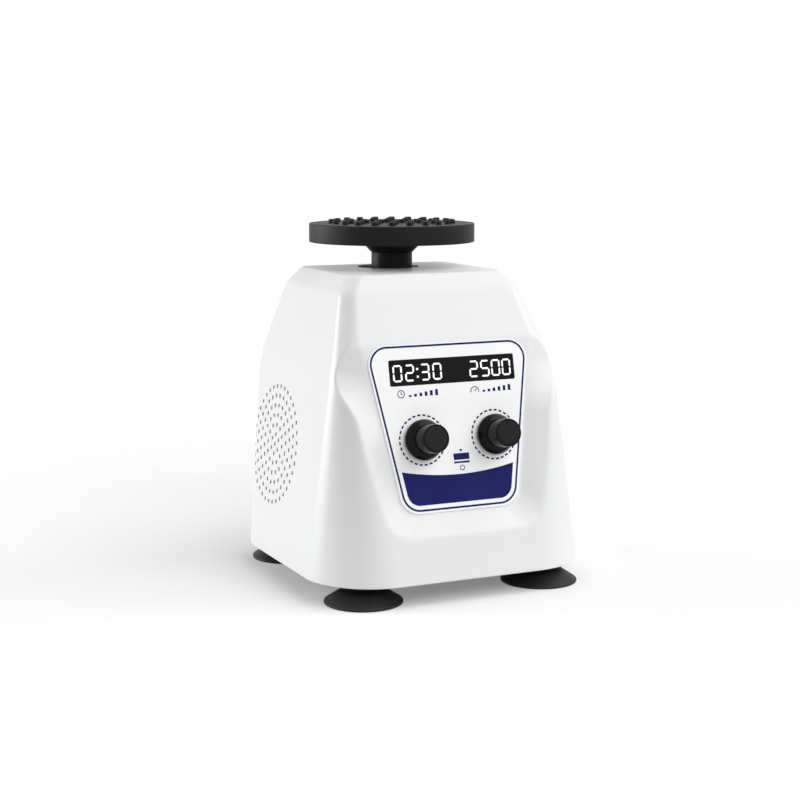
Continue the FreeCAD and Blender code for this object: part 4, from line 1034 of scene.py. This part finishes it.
# Camera: place in millimetres, direction, focal length and sensor width, and nearest distance in metres
CAMERA_PLACE = (-315.93, -668.93, 193.46)
CAMERA_FORWARD = (0.41633, 0.89602, -0.15431)
CAMERA_LENS = 74.276
SENSOR_WIDTH = 36.0
CLIP_START = 0.01


def make_camera():
    """Camera at the photograph's angle."""
    camera = bpy.data.objects.new("camera", bpy.data.cameras.new("camera"))
    camera.data.lens = CAMERA_LENS
    camera.data.sensor_width = SENSOR_WIDTH
    camera.data.clip_start = CLIP_START
    camera.location = Vector(CAMERA_PLACE) * MM
    camera.rotation_mode = "QUATERNION"
    camera.rotation_quaternion = Vector(CAMERA_FORWARD).to_track_quat("-Z", "Y")
    bpy.context.scene.collection.objects.link(camera)
    bpy.context.scene.camera = camera


# Softboxes round the middle of the mixer: azimuth from the front to the right and elevation in degrees,
# width and height in metres, and power in watts
LAMPS = {
    "left_softbox": (-127, 11, 1.0, 0.9, 22.5),
    "right_softbox": (72, 26, 1.0, 0.9, 7.0),
    "front_softbox": (8, 31, 1.3, 0.7, 10.0),
    "upper_softbox": (58, 58, 1.3, 1.1, 12.0),
    "top_softbox": (0, 90, 1.2, 1.2, 0.6),
}
LAMP_REACH = 1.6
LAMP_TARGET = Vector((0.0, 0.0, 0.08))


def make_lamp(name, azimuth, elevation, width, height, power):
    """Soft rectangular lamp that points at the mixer."""
    lamp = bpy.data.lights.new(name, "AREA")
    lamp.shape = "RECTANGLE"
    lamp.size = width
    lamp.size_y = height
    lamp.energy = power
    turn, rise = math.radians(azimuth), math.radians(elevation)
    level = math.cos(rise)
    outward = Vector((level * math.sin(turn), -level * math.cos(turn), math.sin(rise)))
    holder = bpy.data.objects.new(name, lamp)
    holder.location = LAMP_TARGET + LAMP_REACH * outward
    holder.rotation_mode = "QUATERNION"
    holder.rotation_quaternion = (-outward).to_track_quat("-Z", "Y")
    bpy.context.scene.collection.objects.link(holder)


# Strength of the surroundings as light, and the floor: its tones, glow, size, and where it clears away
WORLD_LIGHT = 0.22
FLOOR_TONES = (0.775, 0.785)
FLOOR_NOISE = 3.0
FLOOR_LIFT = 0.195
FLOOR_RADIUS = 3.0
FLOOR_SIDES = 96
FLOOR_CLEAR = (0.16, 0.44)


def seen_directly(nodes, links):
    """One for rays from the camera and for reflections and glass, zero for light."""
    path = nodes.new("ShaderNodeLightPath")
    total = path.outputs["Is Camera Ray"]
    for kind in ("Is Glossy Ray", "Is Transmission Ray"):
        joined = nodes.new("ShaderNodeMath")
        joined.operation = "MAXIMUM"
        links.new(total, joined.inputs[0])
        links.new(path.outputs[kind], joined.inputs[1])
        total = joined.outputs["Value"]
    return total


def make_world():
    """Even pale surroundings that look white to the camera and in reflections."""
    world = bpy.data.worlds.new("studio")
    bpy.context.scene.world = world
    world.use_nodes = True
    nodes, links = world.node_tree.nodes, world.node_tree.links
    dim = nodes["Background"]
    dim.inputs["Color"].default_value = WHITE
    dim.inputs["Strength"].default_value = WORLD_LIGHT
    white = nodes.new("ShaderNodeBackground")
    white.inputs["Color"].default_value = WHITE
    white.inputs["Strength"].default_value = 1.0
    mix = nodes.new("ShaderNodeMixShader")
    links.new(seen_directly(nodes, links), mix.inputs["Fac"])
    links.new(dim.outputs["Background"], mix.inputs[1])
    links.new(white.outputs["Background"], mix.inputs[2])
    links.new(mix.outputs["Shader"], nodes["World Output"].inputs["Surface"])


def floor_finish():
    """Pale floor that keeps the shadow near the object and clears to the white surroundings further out."""
    finish = Finish("floor", Roughness=0.7, Specular_IOR_Level=0.1)
    nodes, links = finish.nodes, finish.links
    finish.colours(finish.noise(FLOOR_NOISE), *([tone] * 3 for tone in FLOOR_TONES))
    finish.shader.inputs["Emission Color"].default_value = WHITE
    lift = nodes.new("ShaderNodeMapRange")
    lift.inputs["To Max"].default_value = FLOOR_LIFT
    links.new(seen_directly(nodes, links), lift.inputs["Value"])
    links.new(lift.outputs["Result"], finish.shader.inputs["Emission Strength"])
    reach = nodes.new("ShaderNodeVectorMath")
    reach.operation = "LENGTH"
    links.new(finish.place, reach.inputs[0])
    clear = nodes.new("ShaderNodeMapRange")
    clear.interpolation_type = "SMOOTHSTEP"
    for socket, value in zip(("From Min", "From Max", "To Min", "To Max"), (*FLOOR_CLEAR, 1.0, 0.0)):
        clear.inputs[socket].default_value = value
    links.new(reach.outputs["Value"], clear.inputs["Value"])
    links.new(clear.outputs["Result"], finish.shader.inputs["Alpha"])
    return finish.material


def make_floor():
    """Plain pale floor."""
    mesh = bpy.data.meshes.new("floor")
    mesh.from_pydata([(x, y, 0.0) for x, y in circle(FLOOR_RADIUS, count=FLOOR_SIDES)], [],
                     [list(range(FLOOR_SIDES))])
    floor = bpy.data.objects.new("floor", mesh)
    bpy.context.scene.collection.objects.link(floor)
    mesh.materials.append(floor_finish())


def make_studio():
    """Camera, floor, surroundings and soft lamps."""
    make_camera()
    make_world()
    make_floor()
    for name, settings in LAMPS.items():
        make_lamp(name, *settings)
    bpy.context.scene.view_settings.view_transform = "Standard"


def main():
    """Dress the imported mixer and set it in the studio."""
    materials = make_materials()
    dress_nodes(materials)
    make_housing(materials)
    make_feet(materials)
    make_platform(materials)
    make_boot(materials)
    make_knobs(materials)
    make_print(materials)
    make_display(materials)
    make_studio()


main()
